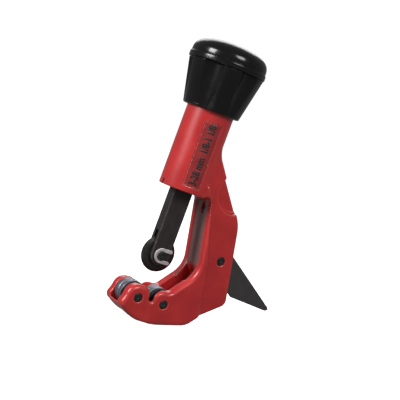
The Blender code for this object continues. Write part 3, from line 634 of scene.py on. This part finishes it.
# The flat letters run up the barrel: their length becomes height, and their height an angle.
letters = np.zeros(len(flat_mesh.vertices) * 3)
flat_mesh.vertices.foreach_get("co", letters)
letters = letters.reshape(-1, 3)
letter_scale = MARKING_LENGTH / np.ptp(letters[:, 0])
angle = math.radians(MARKING_DEG) - letters[:, 1] * LETTER_TALL * letter_scale / PLATE_R
height = letters[:, 0] * letter_scale + (PANEL_LOW + PANEL_HIGH) / 2
wrapped = np.stack([letters[:, 2] * np.cos(angle), letters[:, 2] * np.sin(angle), height], -1)
flat_mesh.vertices.foreach_set("co", (wrapped * MM + (AXIS_X, 0.0, RIM_Z)).ravel())
marking = bpy.data.objects.new("size_marking", flat_mesh)
bpy.context.scene.collection.objects.link(marking)
ink = Finish("marking_ink", {"Metallic": 0.0})
patchy = ink.noise(ink.place((0.5, 0.5, 0.5)), 3.0)
ink.vary("Base Color", ink.mix(ink.between(patchy, 0.3, 0.7), (0.010, 0.008, 0.008), (0.030, 0.022, 0.022)))
ink.vary("Roughness", ink.between(patchy, 0.3, 0.7, 0.35, 0.55))
flat_mesh.materials.clear()
flat_mesh.materials.append(ink.material)
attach(marking, "frame_body")

# Guide bush: a black moulded liner keyed into the barrel's mouth; only its lower face shows.
nylon = Finish("black_moulding", {"Metallic": 0.0})
spark = nylon.noise(nylon.place((0.35, 0.35, 0.35)), 3.0, 0.6)
flow = nylon.noise(nylon.place((4.0, 4.0, 9.0)), 2.0)
nylon.vary("Base Color", nylon.mix(flow, (0.016, 0.016, 0.018), (0.036, 0.035, 0.037)))
nylon.vary("Roughness", nylon.between(spark, 0.3, 0.7, 0.45, 0.62))
nylon.relief(spark, 0.02)
for node in ("guide_bush", "knob_washer"):
    frame["nodes"][node].data.materials.clear()
    frame["nodes"][node].data.materials.append(nylon.material)

# Rollers: two hardened steel rollers, ground on their barrels, with a relieved shoulder at
# each end and a fine groove round the middle; each turns freely on its pin.
ROLLER_R, SHOULDER_R, ROLLER_HALF, BODY_HALF, RUN = 7.0, 5.8, 4.9, 3.6, 0.1


def smooth_profile(corners, edge, steps=4):
    """A run of corners (radius, height), each inner one replaced by a short curve that starts and
    ends edge away."""
    corners = np.array(corners, float)
    points = [corners[:1]]
    for before, corner, after in zip(corners, corners[1:], corners[2:]):
        near, far = (min(edge, np.linalg.norm(end - corner) / 2.2) for end in (before, after))
        start = corner + (before - corner) / np.linalg.norm(before - corner) * near
        end = corner + (after - corner) / np.linalg.norm(after - corner) * far
        share = np.linspace(0, 1, steps)[:, None]
        points.append(start * (1 - share) ** 2 + 2 * corner * share * (1 - share) + end * share**2)
    points.append(corners[-1:])
    return np.concatenate(points)


def turned(name, profile, centre=(0.0, 0.0, 0.0), along="z", around=96, closed=True, sharp_deg=35):
    """A profile of (radius, height) turned round an axis through centre. UV runs round and along it
    in millimetres."""
    profile = np.array(profile, float)
    turn = 2 * np.pi * np.arange(around) / around
    radius, height = profile[:, :1], profile[:, 1:]
    across, out, up = np.broadcast_arrays(radius * np.cos(turn), radius * np.sin(turn), height)
    order = {"z": (across, out, up), "y": (across, -up, out), "x": (up, across, out)}[along]
    length = np.append(0.0, np.cumsum(np.linalg.norm(np.diff(profile, axis=0), axis=1)))
    if closed:
        length = np.append(length, length[-1] + np.linalg.norm(profile[0] - profile[-1]))
    girth = np.linspace(0, 2 * np.pi * profile[:, 0].max(), around + 1)
    uv = np.stack(np.broadcast_arrays(girth, length[:, None]), -1)
    return swept(name, np.stack(order, -1) + np.array(centre), closed, uv, sharp_deg)


roller_steel = Finish("ground_steel", {"Metallic": 1.0})
rings = roller_steel.noise(roller_steel.along_piece((40.0, 0.09)), 2.0, 0.6)
stain = roller_steel.noise(roller_steel.place((2.5, 2.5, 2.5)), 3.0)
off_middle = roller_steel.node("ShaderNodeSeparateXYZ", None, {0: roller_steel.place((1.0, 1.0, 1.0))}, 1)
off_middle = roller_steel.node("ShaderNodeMath", {"operation": "ABSOLUTE"}, {0: off_middle})
shoulder = roller_steel.between(off_middle, BODY_HALF - 0.15, BODY_HALF + 0.05)
tone = roller_steel.mix(roller_steel.between(stain, 0.3, 0.7), (0.27, 0.28, 0.33), (0.35, 0.36, 0.41))
tone = roller_steel.mix(roller_steel.between(rings, 0.55, 0.8, 0.0, 0.4), tone, (0.12, 0.12, 0.15))
# Painted shade: the relieved shoulders at the roller ends are coloured near black for the shade in the gaps
# beside the cheeks.
roller_steel.vary("Base Color", roller_steel.mix(shoulder, tone, (0.035, 0.032, 0.034)))
roller_steel.vary("Roughness", roller_steel.between(rings, 0.3, 0.7, 0.40, 0.52) + 0.10 * shoulder)
roller_steel.relief(rings, 0.006)

roller_profile = smooth_profile(
    [
        (PIN_R + RUN, ROLLER_HALF), (SHOULDER_R, ROLLER_HALF), (SHOULDER_R, BODY_HALF), (ROLLER_R, BODY_HALF),
        (ROLLER_R, 0.35), (ROLLER_R - 0.35, 0.12), (ROLLER_R - 0.35, -0.12), (ROLLER_R, -0.35),
        (ROLLER_R, -BODY_HALF), (SHOULDER_R, -BODY_HALF), (SHOULDER_R, -ROLLER_HALF),
        (PIN_R + RUN, -ROLLER_HALF),
    ],
    0.3,
)
for side, x in (("front", -half_spacing), ("rear", half_spacing)):
    roller = turned(side + "_roller_ground", roller_profile, (x, 0.0, PIN_Z), "y")
    roller.data.materials.append(roller_steel.material)
    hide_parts(side + "_roller")
    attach(roller, side + "_roller_body")

# Pins: blackened steel pins pressed through the cheeks and through the web. Their ends
# are chamfered, stand a hair below the paint and show the centre of the turning.
black_steel = Finish("black_oxide_steel", {"Metallic": 0.75})
lathe = black_steel.noise(black_steel.along_piece((30.0, 0.12)), 2.0, 0.6)
oil = black_steel.noise(black_steel.place((1.6, 1.6, 1.6)), 4.0, 0.6)
dark = black_steel.mix(black_steel.between(oil, 0.3, 0.7), (0.022, 0.024, 0.024), (0.055, 0.062, 0.060))
turned_pale = black_steel.between(lathe, 0.6, 0.8)
black_steel.vary("Base Color", black_steel.mix(turned_pale, dark, (0.085, 0.090, 0.088)))
black_steel.vary("Roughness", black_steel.between(oil, 0.3, 0.7, 0.34, 0.50))
black_steel.relief(lathe, 0.008)


def pin_profile(half):
    """From the middle of one end to the middle of the other: centre dimple, flat, chamfer and shank."""
    end = [(0.02, half - 0.35), (0.45, half - 0.05), (PIN_R - 0.4, half), (PIN_R, half - 0.35)]
    return smooth_profile(end + [(r, -h) for r, h in end[::-1]], 0.12)


for node, x, z, half in (
    ("front_roller_pin", -half_spacing, PIN_Z, JAW_HALF - 0.1),
    ("rear_roller_pin", half_spacing, PIN_Z, JAW_HALF - 0.1),
    ("reamer_pin", REAMER_X, REAMER_Z, WEB_HALF - 0.1),
):
    pin = turned(node + "_turned", pin_profile(half), (x, 0.0, z), "y", 64, closed=False)
    pin.data.materials.append(black_steel.material)
    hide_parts(node)
    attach(pin, "frame_body")

# Slide: a flat steel bar with broken edges, blacked. It is tapped down its middle for the
# screw and slotted at the foot, whose two arms are rounded and drilled for the axle.
SLIDE_HALF, SLIDE_DEEP, SLIDE_TOP, WHEEL_Z, WHEEL_R, WHEEL_HALF = 5.25, 3.55, 15.6, -35.3, 9.6, 1.3
AXLE_R, TAPPED_R = 2.5, 2.7
FORK_TOP = WHEEL_Z + WHEEL_R + 2.4
SLIDE_PITCH = 0.22


def slide_bar(x, y, z):
    """Distance to a bar whose lower end is a half circle about the axle, less slot, tapped bore and
    axle hole."""
    below = np.minimum(z - WHEEL_Z, 0.0)
    side = common(np.hypot(x, below) - SLIDE_HALF, z - SLIDE_TOP, 0.3)
    bar = common(side, np.abs(y) - SLIDE_DEEP, 0.45)
    slot = common(np.abs(y) - WHEEL_HALF - 0.3, z - FORK_TOP, 0.9)
    bar = less(bar, slot, 0.2)
    bar = less(bar, np.maximum(np.hypot(x, y) - TAPPED_R, FORK_TOP - 1.0 - z), 0.2)
    return less(bar, np.hypot(x, z - WHEEL_Z) - AXLE_R - 0.1, 0.25)


slide = skin_of("slide_bar", slide_bar, (-6.0, -4.3, WHEEL_Z - 6.0), (6.0, 4.3, SLIDE_TOP + 0.7), SLIDE_PITCH)
blacked = Finish("blacked_bar", {"Metallic": 0.35})
drawn = blacked.noise(blacked.place((0.18, 0.5, 14.0)), 3.0, 0.6)
blotch = blacked.noise(blacked.place((3.5, 3.5, 7.0)), 4.0, 0.6)
grit = blacked.noise(blacked.place((0.3, 0.3, 0.3)), 2.0)
edge = blacked.attribute("edge")
tone = blacked.mix(blacked.between(blotch, 0.3, 0.7), (0.026, 0.020, 0.020), (0.042, 0.034, 0.034))
tone = blacked.mix(blacked.between(drawn, 0.60, 0.78, 0.0, 0.5), tone, (0.075, 0.065, 0.062))
rubbed = blacked.between(edge * blacked.between(blotch, 0.35, 0.7), 0.75, 1.6, 0.0, 0.3)
blacked.vary("Base Color", blacked.mix(rubbed, tone, (0.20, 0.18, 0.17)))
blacked.vary("Roughness", blacked.between(blotch, 0.3, 0.7, 0.42, 0.60) - 0.12 * rubbed)
blacked.relief(0.5 * drawn + 0.5 * grit, 0.012)
slide.data.materials.append(blacked.material)
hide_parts("slide")
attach(slide, "slide_body")

# Cutting wheel: a hardened disc, ground to an edge on both sides and blacked, that turns on
# the axle between the arms.
wheel_profile = smooth_profile(
    [
        (AXLE_R + RUN, WHEEL_HALF), (4.4, WHEEL_HALF), (4.6, WHEEL_HALF - 0.12), (6.8, WHEEL_HALF - 0.12),
        (WHEEL_R - 1.9, WHEEL_HALF - 0.2), (WHEEL_R - 0.35, 0.26), (WHEEL_R, 0.03), (WHEEL_R, -0.03),
        (WHEEL_R - 0.35, -0.26), (WHEEL_R - 1.9, 0.2 - WHEEL_HALF), (6.8, 0.12 - WHEEL_HALF),
        (4.6, 0.12 - WHEEL_HALF), (4.4, -WHEEL_HALF), (AXLE_R + RUN, -WHEEL_HALF),
    ],
    0.12,
)
wheel = turned("cutting_wheel_ground", wheel_profile, (0.0, 0.0, WHEEL_Z), "y", 128, sharp_deg=20)
wheel_steel = Finish("wheel_steel", {"Metallic": 0.4})
rings = wheel_steel.noise(wheel_steel.along_piece((50.0, 0.10)), 2.0, 0.6)
blotch = wheel_steel.noise(wheel_steel.place((2.2, 2.2, 2.2)), 4.0, 0.6)
tone = wheel_steel.mix(wheel_steel.between(blotch, 0.3, 0.7), (0.015, 0.012, 0.012), (0.030, 0.025, 0.025))
scored = wheel_steel.between(rings, 0.6, 0.8, 0.0, 0.5)
wheel_steel.vary("Base Color", wheel_steel.mix(scored, tone, (0.070, 0.062, 0.060)))
wheel_steel.vary("Roughness", wheel_steel.between(rings, 0.3, 0.7, 0.38, 0.55))
wheel_steel.relief(rings, 0.008)
wheel.data.materials.append(wheel_steel.material)
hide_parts("cutting_wheel")
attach(wheel, "wheel_body")

# Axle: a headed pin through both arms, grooved at its near end for the clip.
GROOVE_R, GROOVE_TOP = AXLE_R - 0.5, SLIDE_DEEP + 1.4
axle_profile = smooth_profile(
    [
        (0.02, SLIDE_DEEP + 1.8), (0.5, SLIDE_DEEP + 2.05), (AXLE_R - 0.4, SLIDE_DEEP + 2.1),
        (AXLE_R, SLIDE_DEEP + 1.75), (AXLE_R, GROOVE_TOP), (GROOVE_R, GROOVE_TOP),
        (GROOVE_R, SLIDE_DEEP + 0.2), (AXLE_R, SLIDE_DEEP + 0.2),
        (AXLE_R, -SLIDE_DEEP - 0.3), (AXLE_R + 1.2, -SLIDE_DEEP - 0.3), (AXLE_R + 1.2, -SLIDE_DEEP - 1.0),
        (AXLE_R + 0.6, -SLIDE_DEEP - 1.5), (0.02, -SLIDE_DEEP - 1.5),
    ],
    0.15,
)
axle = turned("wheel_axle_turned", axle_profile, (0.0, 0.0, WHEEL_Z), "y", 72, closed=False)
axle.data.materials.append(black_steel.material)
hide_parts("wheel_axle")
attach(axle, "slide_body")

# Clip: a bright horseshoe of flat spring steel, pushed into the axle's groove.
CLIP_IN, CLIP_WIDE, CLIP_THICK, CLIP_END = 2.1, 1.9, 0.8, 4.6
CLIP_Y = -(SLIDE_DEEP + 0.4 + CLIP_THICK / 2)
clip_mid = CLIP_IN + CLIP_WIDE / 2


def horseshoe():
    """A rounded rectangle carried along an arm, round half a circle and back along the other arm; its width
    shrinks as a half circle over the last half width of each arm."""
    arc_length, reach_out = math.pi * clip_mid, CLIP_END + CLIP_WIDE / 2
    total = arc_length + 2 * reach_out
    share = np.linspace(0, 1, 120)
    travel = total * (share - 0.06 * np.sin(4 * math.pi * share) / 2)
    on_arc = np.clip((travel - reach_out) / clip_mid, 0, math.pi)
    straight = np.maximum(reach_out - travel, 0) + np.maximum(travel - reach_out - arc_length, 0)
    turn = math.pi / 2 + on_arc
    centre_x, centre_z = clip_mid * np.cos(turn) + straight, clip_mid * np.sin(turn)
    from_end = np.minimum(travel, total - travel) / (CLIP_WIDE / 2)
    wide = np.sqrt(np.clip(1 - (1 - np.clip(from_end, 0, 1)) ** 2, 0.0004, 1))
    around = 2 * np.pi * np.arange(32) / 32
    cos, sin = np.cos(around), np.sin(around)
    section_u = np.sign(cos) * np.abs(cos) ** 0.4 * CLIP_WIDE / 2
    section_v = np.sign(sin) * np.abs(sin) ** 0.4 * CLIP_THICK / 2
    out = section_u * wide[:, None]
    x = centre_x[:, None] + out * np.cos(turn)[:, None]
    z = centre_z[:, None] + out * np.sin(turn)[:, None] + WHEEL_Z
    y = CLIP_Y + section_v * np.ones_like(out)
    uv = np.stack(np.broadcast_arrays(np.linspace(0, 5, 33), travel[:, None]), -1)
    return swept("axle_clip_pressed", np.stack([x, y, z], -1), uv=uv)


clip = horseshoe()
bright = Finish("bright_spring_steel", {"Metallic": 0.60})
tumble = bright.noise(bright.place((0.5, 0.5, 0.5)), 4.0, 0.6)
smear = bright.noise(bright.place((2.0, 2.0, 2.0)), 3.0)
bright.vary("Base Color", bright.mix(bright.between(smear, 0.3, 0.7), (0.60, 0.55, 0.55), (0.80, 0.74, 0.74)))
bright.vary("Roughness", bright.between(tumble, 0.3, 0.7, 0.34, 0.50))
bright.relief(tumble, 0.015)
clip.data.materials.append(bright.material)
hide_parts("axle_clip")
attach(clip, "slide_body")

# Reamer: a stamped triangular blade of dark phosphated steel, its long edges left square for
# scraping the bore. A spring washer beside it in the slot gives it drag.
BLADE_THICK, BLADE_Y, HEEL_R = 2.0, 0.3, 7.0
blade_corners = [(42.9, -17.2), (4.9, 7.6)]
heel = np.radians(np.linspace(95.0, 242.0, 60))
blade_tip = [(17.2, -16.7), (18.3, -17.6), (41.9, -19.5), (43.6, -18.5)]
heel_curve = np.stack([np.cos(heel), np.sin(heel)], -1) * HEEL_R
blade_outline = np.concatenate([blade_corners, heel_curve, blade_tip])


def spaced(outline, step):
    """The outline's own corners, with points between them no further apart than step."""
    runs = []
    for start, end in zip(outline, np.roll(outline, -1, 0)):
        count = max(1, int(math.ceil(np.linalg.norm(end - start) / step)))
        runs.append(start + (end - start) * np.arange(count)[:, None] / count)
    return np.concatenate(runs)


def blade_plate():
    """The outline, drawn in a little at each face for a broken edge, then the pin's hole seen at the
    same angles."""
    outline = spaced(blade_outline, 0.7)
    ahead, behind = np.roll(outline, -1, 0) - outline, outline - np.roll(outline, 1, 0)
    tangent = ahead / np.linalg.norm(ahead, axis=1)[:, None]
    tangent = tangent + behind / np.linalg.norm(behind, axis=1)[:, None]
    tangent /= np.maximum(np.linalg.norm(tangent, axis=1), 0.3)[:, None]
    inward = np.stack([-tangent[:, 1], tangent[:, 0]], -1)
    inward *= 1.0 if (inward * -outline).sum() > 0 else -1.0
    angle = np.arctan2(outline[:, 1], outline[:, 0])
    hole = np.stack([np.cos(angle), np.sin(angle)], -1) * (PIN_R + RUN)
    half = BLADE_THICK / 2
    near = ((0.22, -half), (0.07, 0.09 - half), (0.0, 0.3 - half))
    far = ((0.0, half - 0.3), (0.07, half - 0.09), (0.22, half))
    stations = [(outline + inward * draw, y) for draw, y in near + far]
    stations += [(outline * (1 - s) + hole * s, half) for s in (0.25, 0.5, 0.75)]
    stations += [(hole, half), (hole, -half)]
    stations += [(outline * (1 - s) + hole * s, -half) for s in (0.75, 0.5, 0.25)]
    rings = []
    for ring, y in stations:
        level = np.full(len(ring), BLADE_Y + y)
        rings.append(np.stack([ring[:, 0] + REAMER_X, level, ring[:, 1] + REAMER_Z], -1))
    return swept("reamer_blade_stamped", np.array(rings), closed=True, sharp_deg=25)


blade = blade_plate()
phosphate = Finish("dark_phosphate", {"Metallic": 0.3})
crystal = phosphate.noise(phosphate.place((0.12, 0.12, 0.12)), 3.0, 0.7)
cloud = phosphate.noise(phosphate.place((5.0, 5.0, 5.0)), 4.0, 0.6)
along_tip = phosphate.noise(phosphate.place((6.0, 6.0, 0.25), (0.0, 0.52, 0.0)), 2.0)
tone = phosphate.mix(phosphate.between(cloud, 0.3, 0.7), (0.050, 0.044, 0.044), (0.062, 0.056, 0.056))
ground = phosphate.between(along_tip, 0.66, 0.84, 0.0, 0.25)
phosphate.vary("Base Color", phosphate.mix(ground, tone, (0.08, 0.075, 0.075)))
phosphate.vary("Roughness", phosphate.between(crystal, 0.3, 0.7, 0.48, 0.66))
phosphate.relief(crystal, 0.015)
blade.data.materials.append(phosphate.material)
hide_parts("reamer_blade")
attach(blade, "reamer_body")

# Feed screw: a left-hand M5 thread with a plain journal above it, held in the barrel's end
# by a thrust washer and a retaining ring. All of it is bright zinc, inside the tool.
SCREW_R, THREAD_PITCH, THREAD_DEPTH = 2.45, 0.8, 0.42
JOURNAL_R, JOURNAL_LOW, SCREW_LOW, SCREW_HIGH = 4.0, 37.0, -2.5, 60.0


def threaded_screw():
    """Radius falls and rises once in each pitch, and the wave moves up the axis by one pitch a turn,
    clockwise from above; it fades out at both ends of the thread. Above the thread stand the shoulder
    and the journal."""
    heights = np.arange(SCREW_LOW + 0.05, JOURNAL_LOW - 0.02, THREAD_PITCH / 12)
    turn = 2 * np.pi * np.arange(64) / 64
    phase = (heights[:, None] / THREAD_PITCH + turn / (2 * np.pi)) % 1.0
    flank = np.clip(2.6 * np.abs(phase - 0.5) - 0.15, 0, 1)
    fade = np.clip((heights - SCREW_LOW) / 1.5, 0.2, 1) * np.clip((JOURNAL_LOW - heights) / 0.8, 0, 1)
    radius = SCREW_R - THREAD_DEPTH * flank * fade[:, None]
    radius -= 0.5 * np.clip(1 - (heights[:, None] - SCREW_LOW) / 0.6, 0, 1)
    ring_low, ring_high = 37.7, 38.8
    plain = smooth_profile(
        [
            (SCREW_R, JOURNAL_LOW), (JOURNAL_R, JOURNAL_LOW),
            (JOURNAL_R, ring_low), (JOURNAL_R - 0.8, ring_low),
            (JOURNAL_R - 0.8, ring_high), (JOURNAL_R, ring_high), (JOURNAL_R, SCREW_HIGH), (0.05, SCREW_HIGH),
        ],
        0.15,
    )
    radius = np.concatenate([radius, np.repeat(plain[:, :1], 64, 1)])
    heights = np.concatenate([heights, plain[:, 1]])
    rings = np.stack(np.broadcast_arrays(radius * np.cos(turn), radius * np.sin(turn), heights[:, None]), -1)
    return swept("feed_screw_threaded", rings, sharp_deg=40)


feed_screw = threaded_screw()
feed_screw.data.materials.append(bright.material)
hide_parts("feed_screw")
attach(feed_screw, "knob_body")
for node in ("thrust_washer", "retaining_ring", "drive_pin", "reamer_spring_washer"):
    frame["nodes"][node].data.materials.clear()
    frame["nodes"][node].data.materials.append(bright.material)

# Knob: a gloss black moulding, tapered towards the barrel, with six flutes for the fingers
# that meet the taper in thin ridges. It is hollow above and pinned to the screw by its hub.
KNOB_LOW, KNOB_HIGH, KNOB_LOW_R, KNOB_HIGH_R, KNOB_WALL = 43.0, 66.2, 15.1, 20.2, 5.2
FLUTES, FLUTE_R, FLUTE_DEG, FLUTE_LOW_R, FLUTE_HIGH_R = 6, 8.0, -17.0, 23.0, 25.03
RIDGE_R = 0.30
HUB_LOW, HUB_HIGH, HUB_R, FLOOR_Z = 45.8, 62.0, 8.2, 48.0
SKIRT_R = 13.0


def fluted_knob(around=600):
    """Outside, the radius is the lesser of the taper's and the distance out to a flute's round wall,
    which leans with the taper; the lesser of the two is blended over RIDGE_R. Inside, plain turned
    walls and the hub."""
    taper = (KNOB_HIGH_R - KNOB_LOW_R) / (KNOB_HIGH - KNOB_LOW)
    outer_z = np.linspace(KNOB_HIGH - 0.3, KNOB_LOW + 2.2, 60)
    outer_z = np.concatenate([outer_z, KNOB_LOW + np.linspace(2.0, 1.0, 6)])
    outer_r = KNOB_LOW_R + (outer_z - KNOB_LOW) * taper
    foot = np.radians(np.linspace(5, 90, 12))
    foot_r = KNOB_LOW_R - 0.75 + 1.0 * np.cos(foot)
    foot_z = KNOB_LOW + 1.0 - np.sin(foot)
    outer_r = np.concatenate([[KNOB_HIGH_R - 0.35, KNOB_HIGH_R - 0.1], outer_r, foot_r])
    outer_z = np.concatenate([[KNOB_HIGH, KNOB_HIGH - 0.1], outer_z, foot_z])
    turn = 2 * np.pi * np.arange(around) / around
    sector = 2 * np.pi / FLUTES
    off = (turn - math.radians(FLUTE_DEG) + sector / 2) % sector - sector / 2
    share = ((outer_z - KNOB_LOW) / (KNOB_HIGH - KNOB_LOW))[:, None]
    flute_at = FLUTE_LOW_R + (FLUTE_HIGH_R - FLUTE_LOW_R) * share
    aside = FLUTE_R**2 - (flute_at * np.sin(off)) ** 2
    wall = np.where(aside > 0, flute_at * np.cos(off) - np.sqrt(np.maximum(aside, 0)), 1e3)
    cone = outer_r[:, None]
    blend = np.maximum(RIDGE_R * 2 - np.abs(cone - wall), 0) / (RIDGE_R * 2)
    radius = np.minimum(cone, wall) - blend**2 * RIDGE_R / 2
    inside = smooth_profile(
        [
            (SKIRT_R + 0.4, KNOB_LOW), (SKIRT_R, KNOB_LOW + 0.2),
            (SKIRT_R, HUB_LOW), (JOURNAL_R + 0.1, HUB_LOW),
            (JOURNAL_R + 0.1, HUB_HIGH), (HUB_R, HUB_HIGH), (HUB_R, FLOOR_Z),
            (KNOB_LOW_R + (FLOOR_Z - KNOB_LOW) * taper - KNOB_WALL + 2.2, FLOOR_Z),
            (KNOB_HIGH_R - KNOB_WALL, KNOB_HIGH - 4.0), (KNOB_HIGH_R - KNOB_WALL, KNOB_HIGH),
        ],
        0.3,
    )
    radius = np.concatenate([radius, np.repeat(inside[:, :1], around, 1)])
    height = np.concatenate([outer_z, inside[:, 1]])
    rings = np.stack(np.broadcast_arrays(radius * np.cos(turn), radius * np.sin(turn), height[:, None]), -1)
    return swept("knob_moulded", rings, closed=True, sharp_deg=50)


knob = fluted_knob()
gloss = Finish("black_gloss_moulding", {"Metallic": 0.0, "Specular IOR Level": 0.40})
haze = gloss.noise(gloss.place((7.0, 7.0, 7.0)), 3.0)
hairline = gloss.noise(gloss.place((0.10, 0.8, 5.0), (0.3, 0.5, 0.4)), 2.0, 0.6)
dimple = gloss.noise(gloss.place((2.2, 2.2, 2.2)), 1.0)
gloss.vary("Base Color", gloss.mix(haze, (0.0030, 0.0025, 0.0028), (0.0065, 0.0055, 0.0058)))
hazed = gloss.between(haze, 0.3, 0.7, 0.16, 0.24)
gloss.vary("Roughness", hazed + gloss.between(hairline, 0.66, 0.8, 0.0, 0.10))
gloss.relief(dimple + 0.1 * hairline, 0.035)
knob.data.materials.append(gloss.material)
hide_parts("knob")
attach(knob, "knob_body")

# Cap: a domed gloss black cover with a flange round its foot; a spigot below snaps into the
# knob's mouth.
CAP_R, DOME_R, CAP_TOP, CAP_LOW, FLANGE_TOP, DOME_POWER = 20.6, 20.1, 79.2, 66.4, 69.4, 2.55
dome_turn = np.linspace(0.004, math.pi / 2, 40)
DOME_HIGH = CAP_TOP - FLANGE_TOP - 0.7
dome_r = DOME_R * np.sin(dome_turn) ** (2 / DOME_POWER)
dome_z = CAP_TOP - DOME_HIGH * (1 - np.abs(np.cos(dome_turn)) ** (2 / DOME_POWER))
spigot_r = KNOB_HIGH_R - KNOB_WALL - 0.3
dome = np.stack([dome_r, dome_z], -1)
under = smooth_profile(
    [
        (DOME_R, FLANGE_TOP + 0.5), (DOME_R - 0.15, FLANGE_TOP + 0.1),
        (CAP_R - 0.3, FLANGE_TOP), (CAP_R, FLANGE_TOP - 0.5),
        (CAP_R, CAP_LOW + 0.3), (CAP_R - 0.3, CAP_LOW), (spigot_r, CAP_LOW), (spigot_r, CAP_LOW - 3.2),
        (spigot_r - 1.4, CAP_LOW - 3.2), (spigot_r - 1.4, CAP_LOW + 5.0),
        (12.0, CAP_TOP - 3.0), (0.05, CAP_TOP - 2.4),
    ],
    0.3,
)
cap = turned("knob_cap_moulded", np.concatenate([dome, under]), around=200, closed=False, sharp_deg=50)
cap.data.materials.append(gloss.material)
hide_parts("knob_cap")
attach(cap, "knob_body")
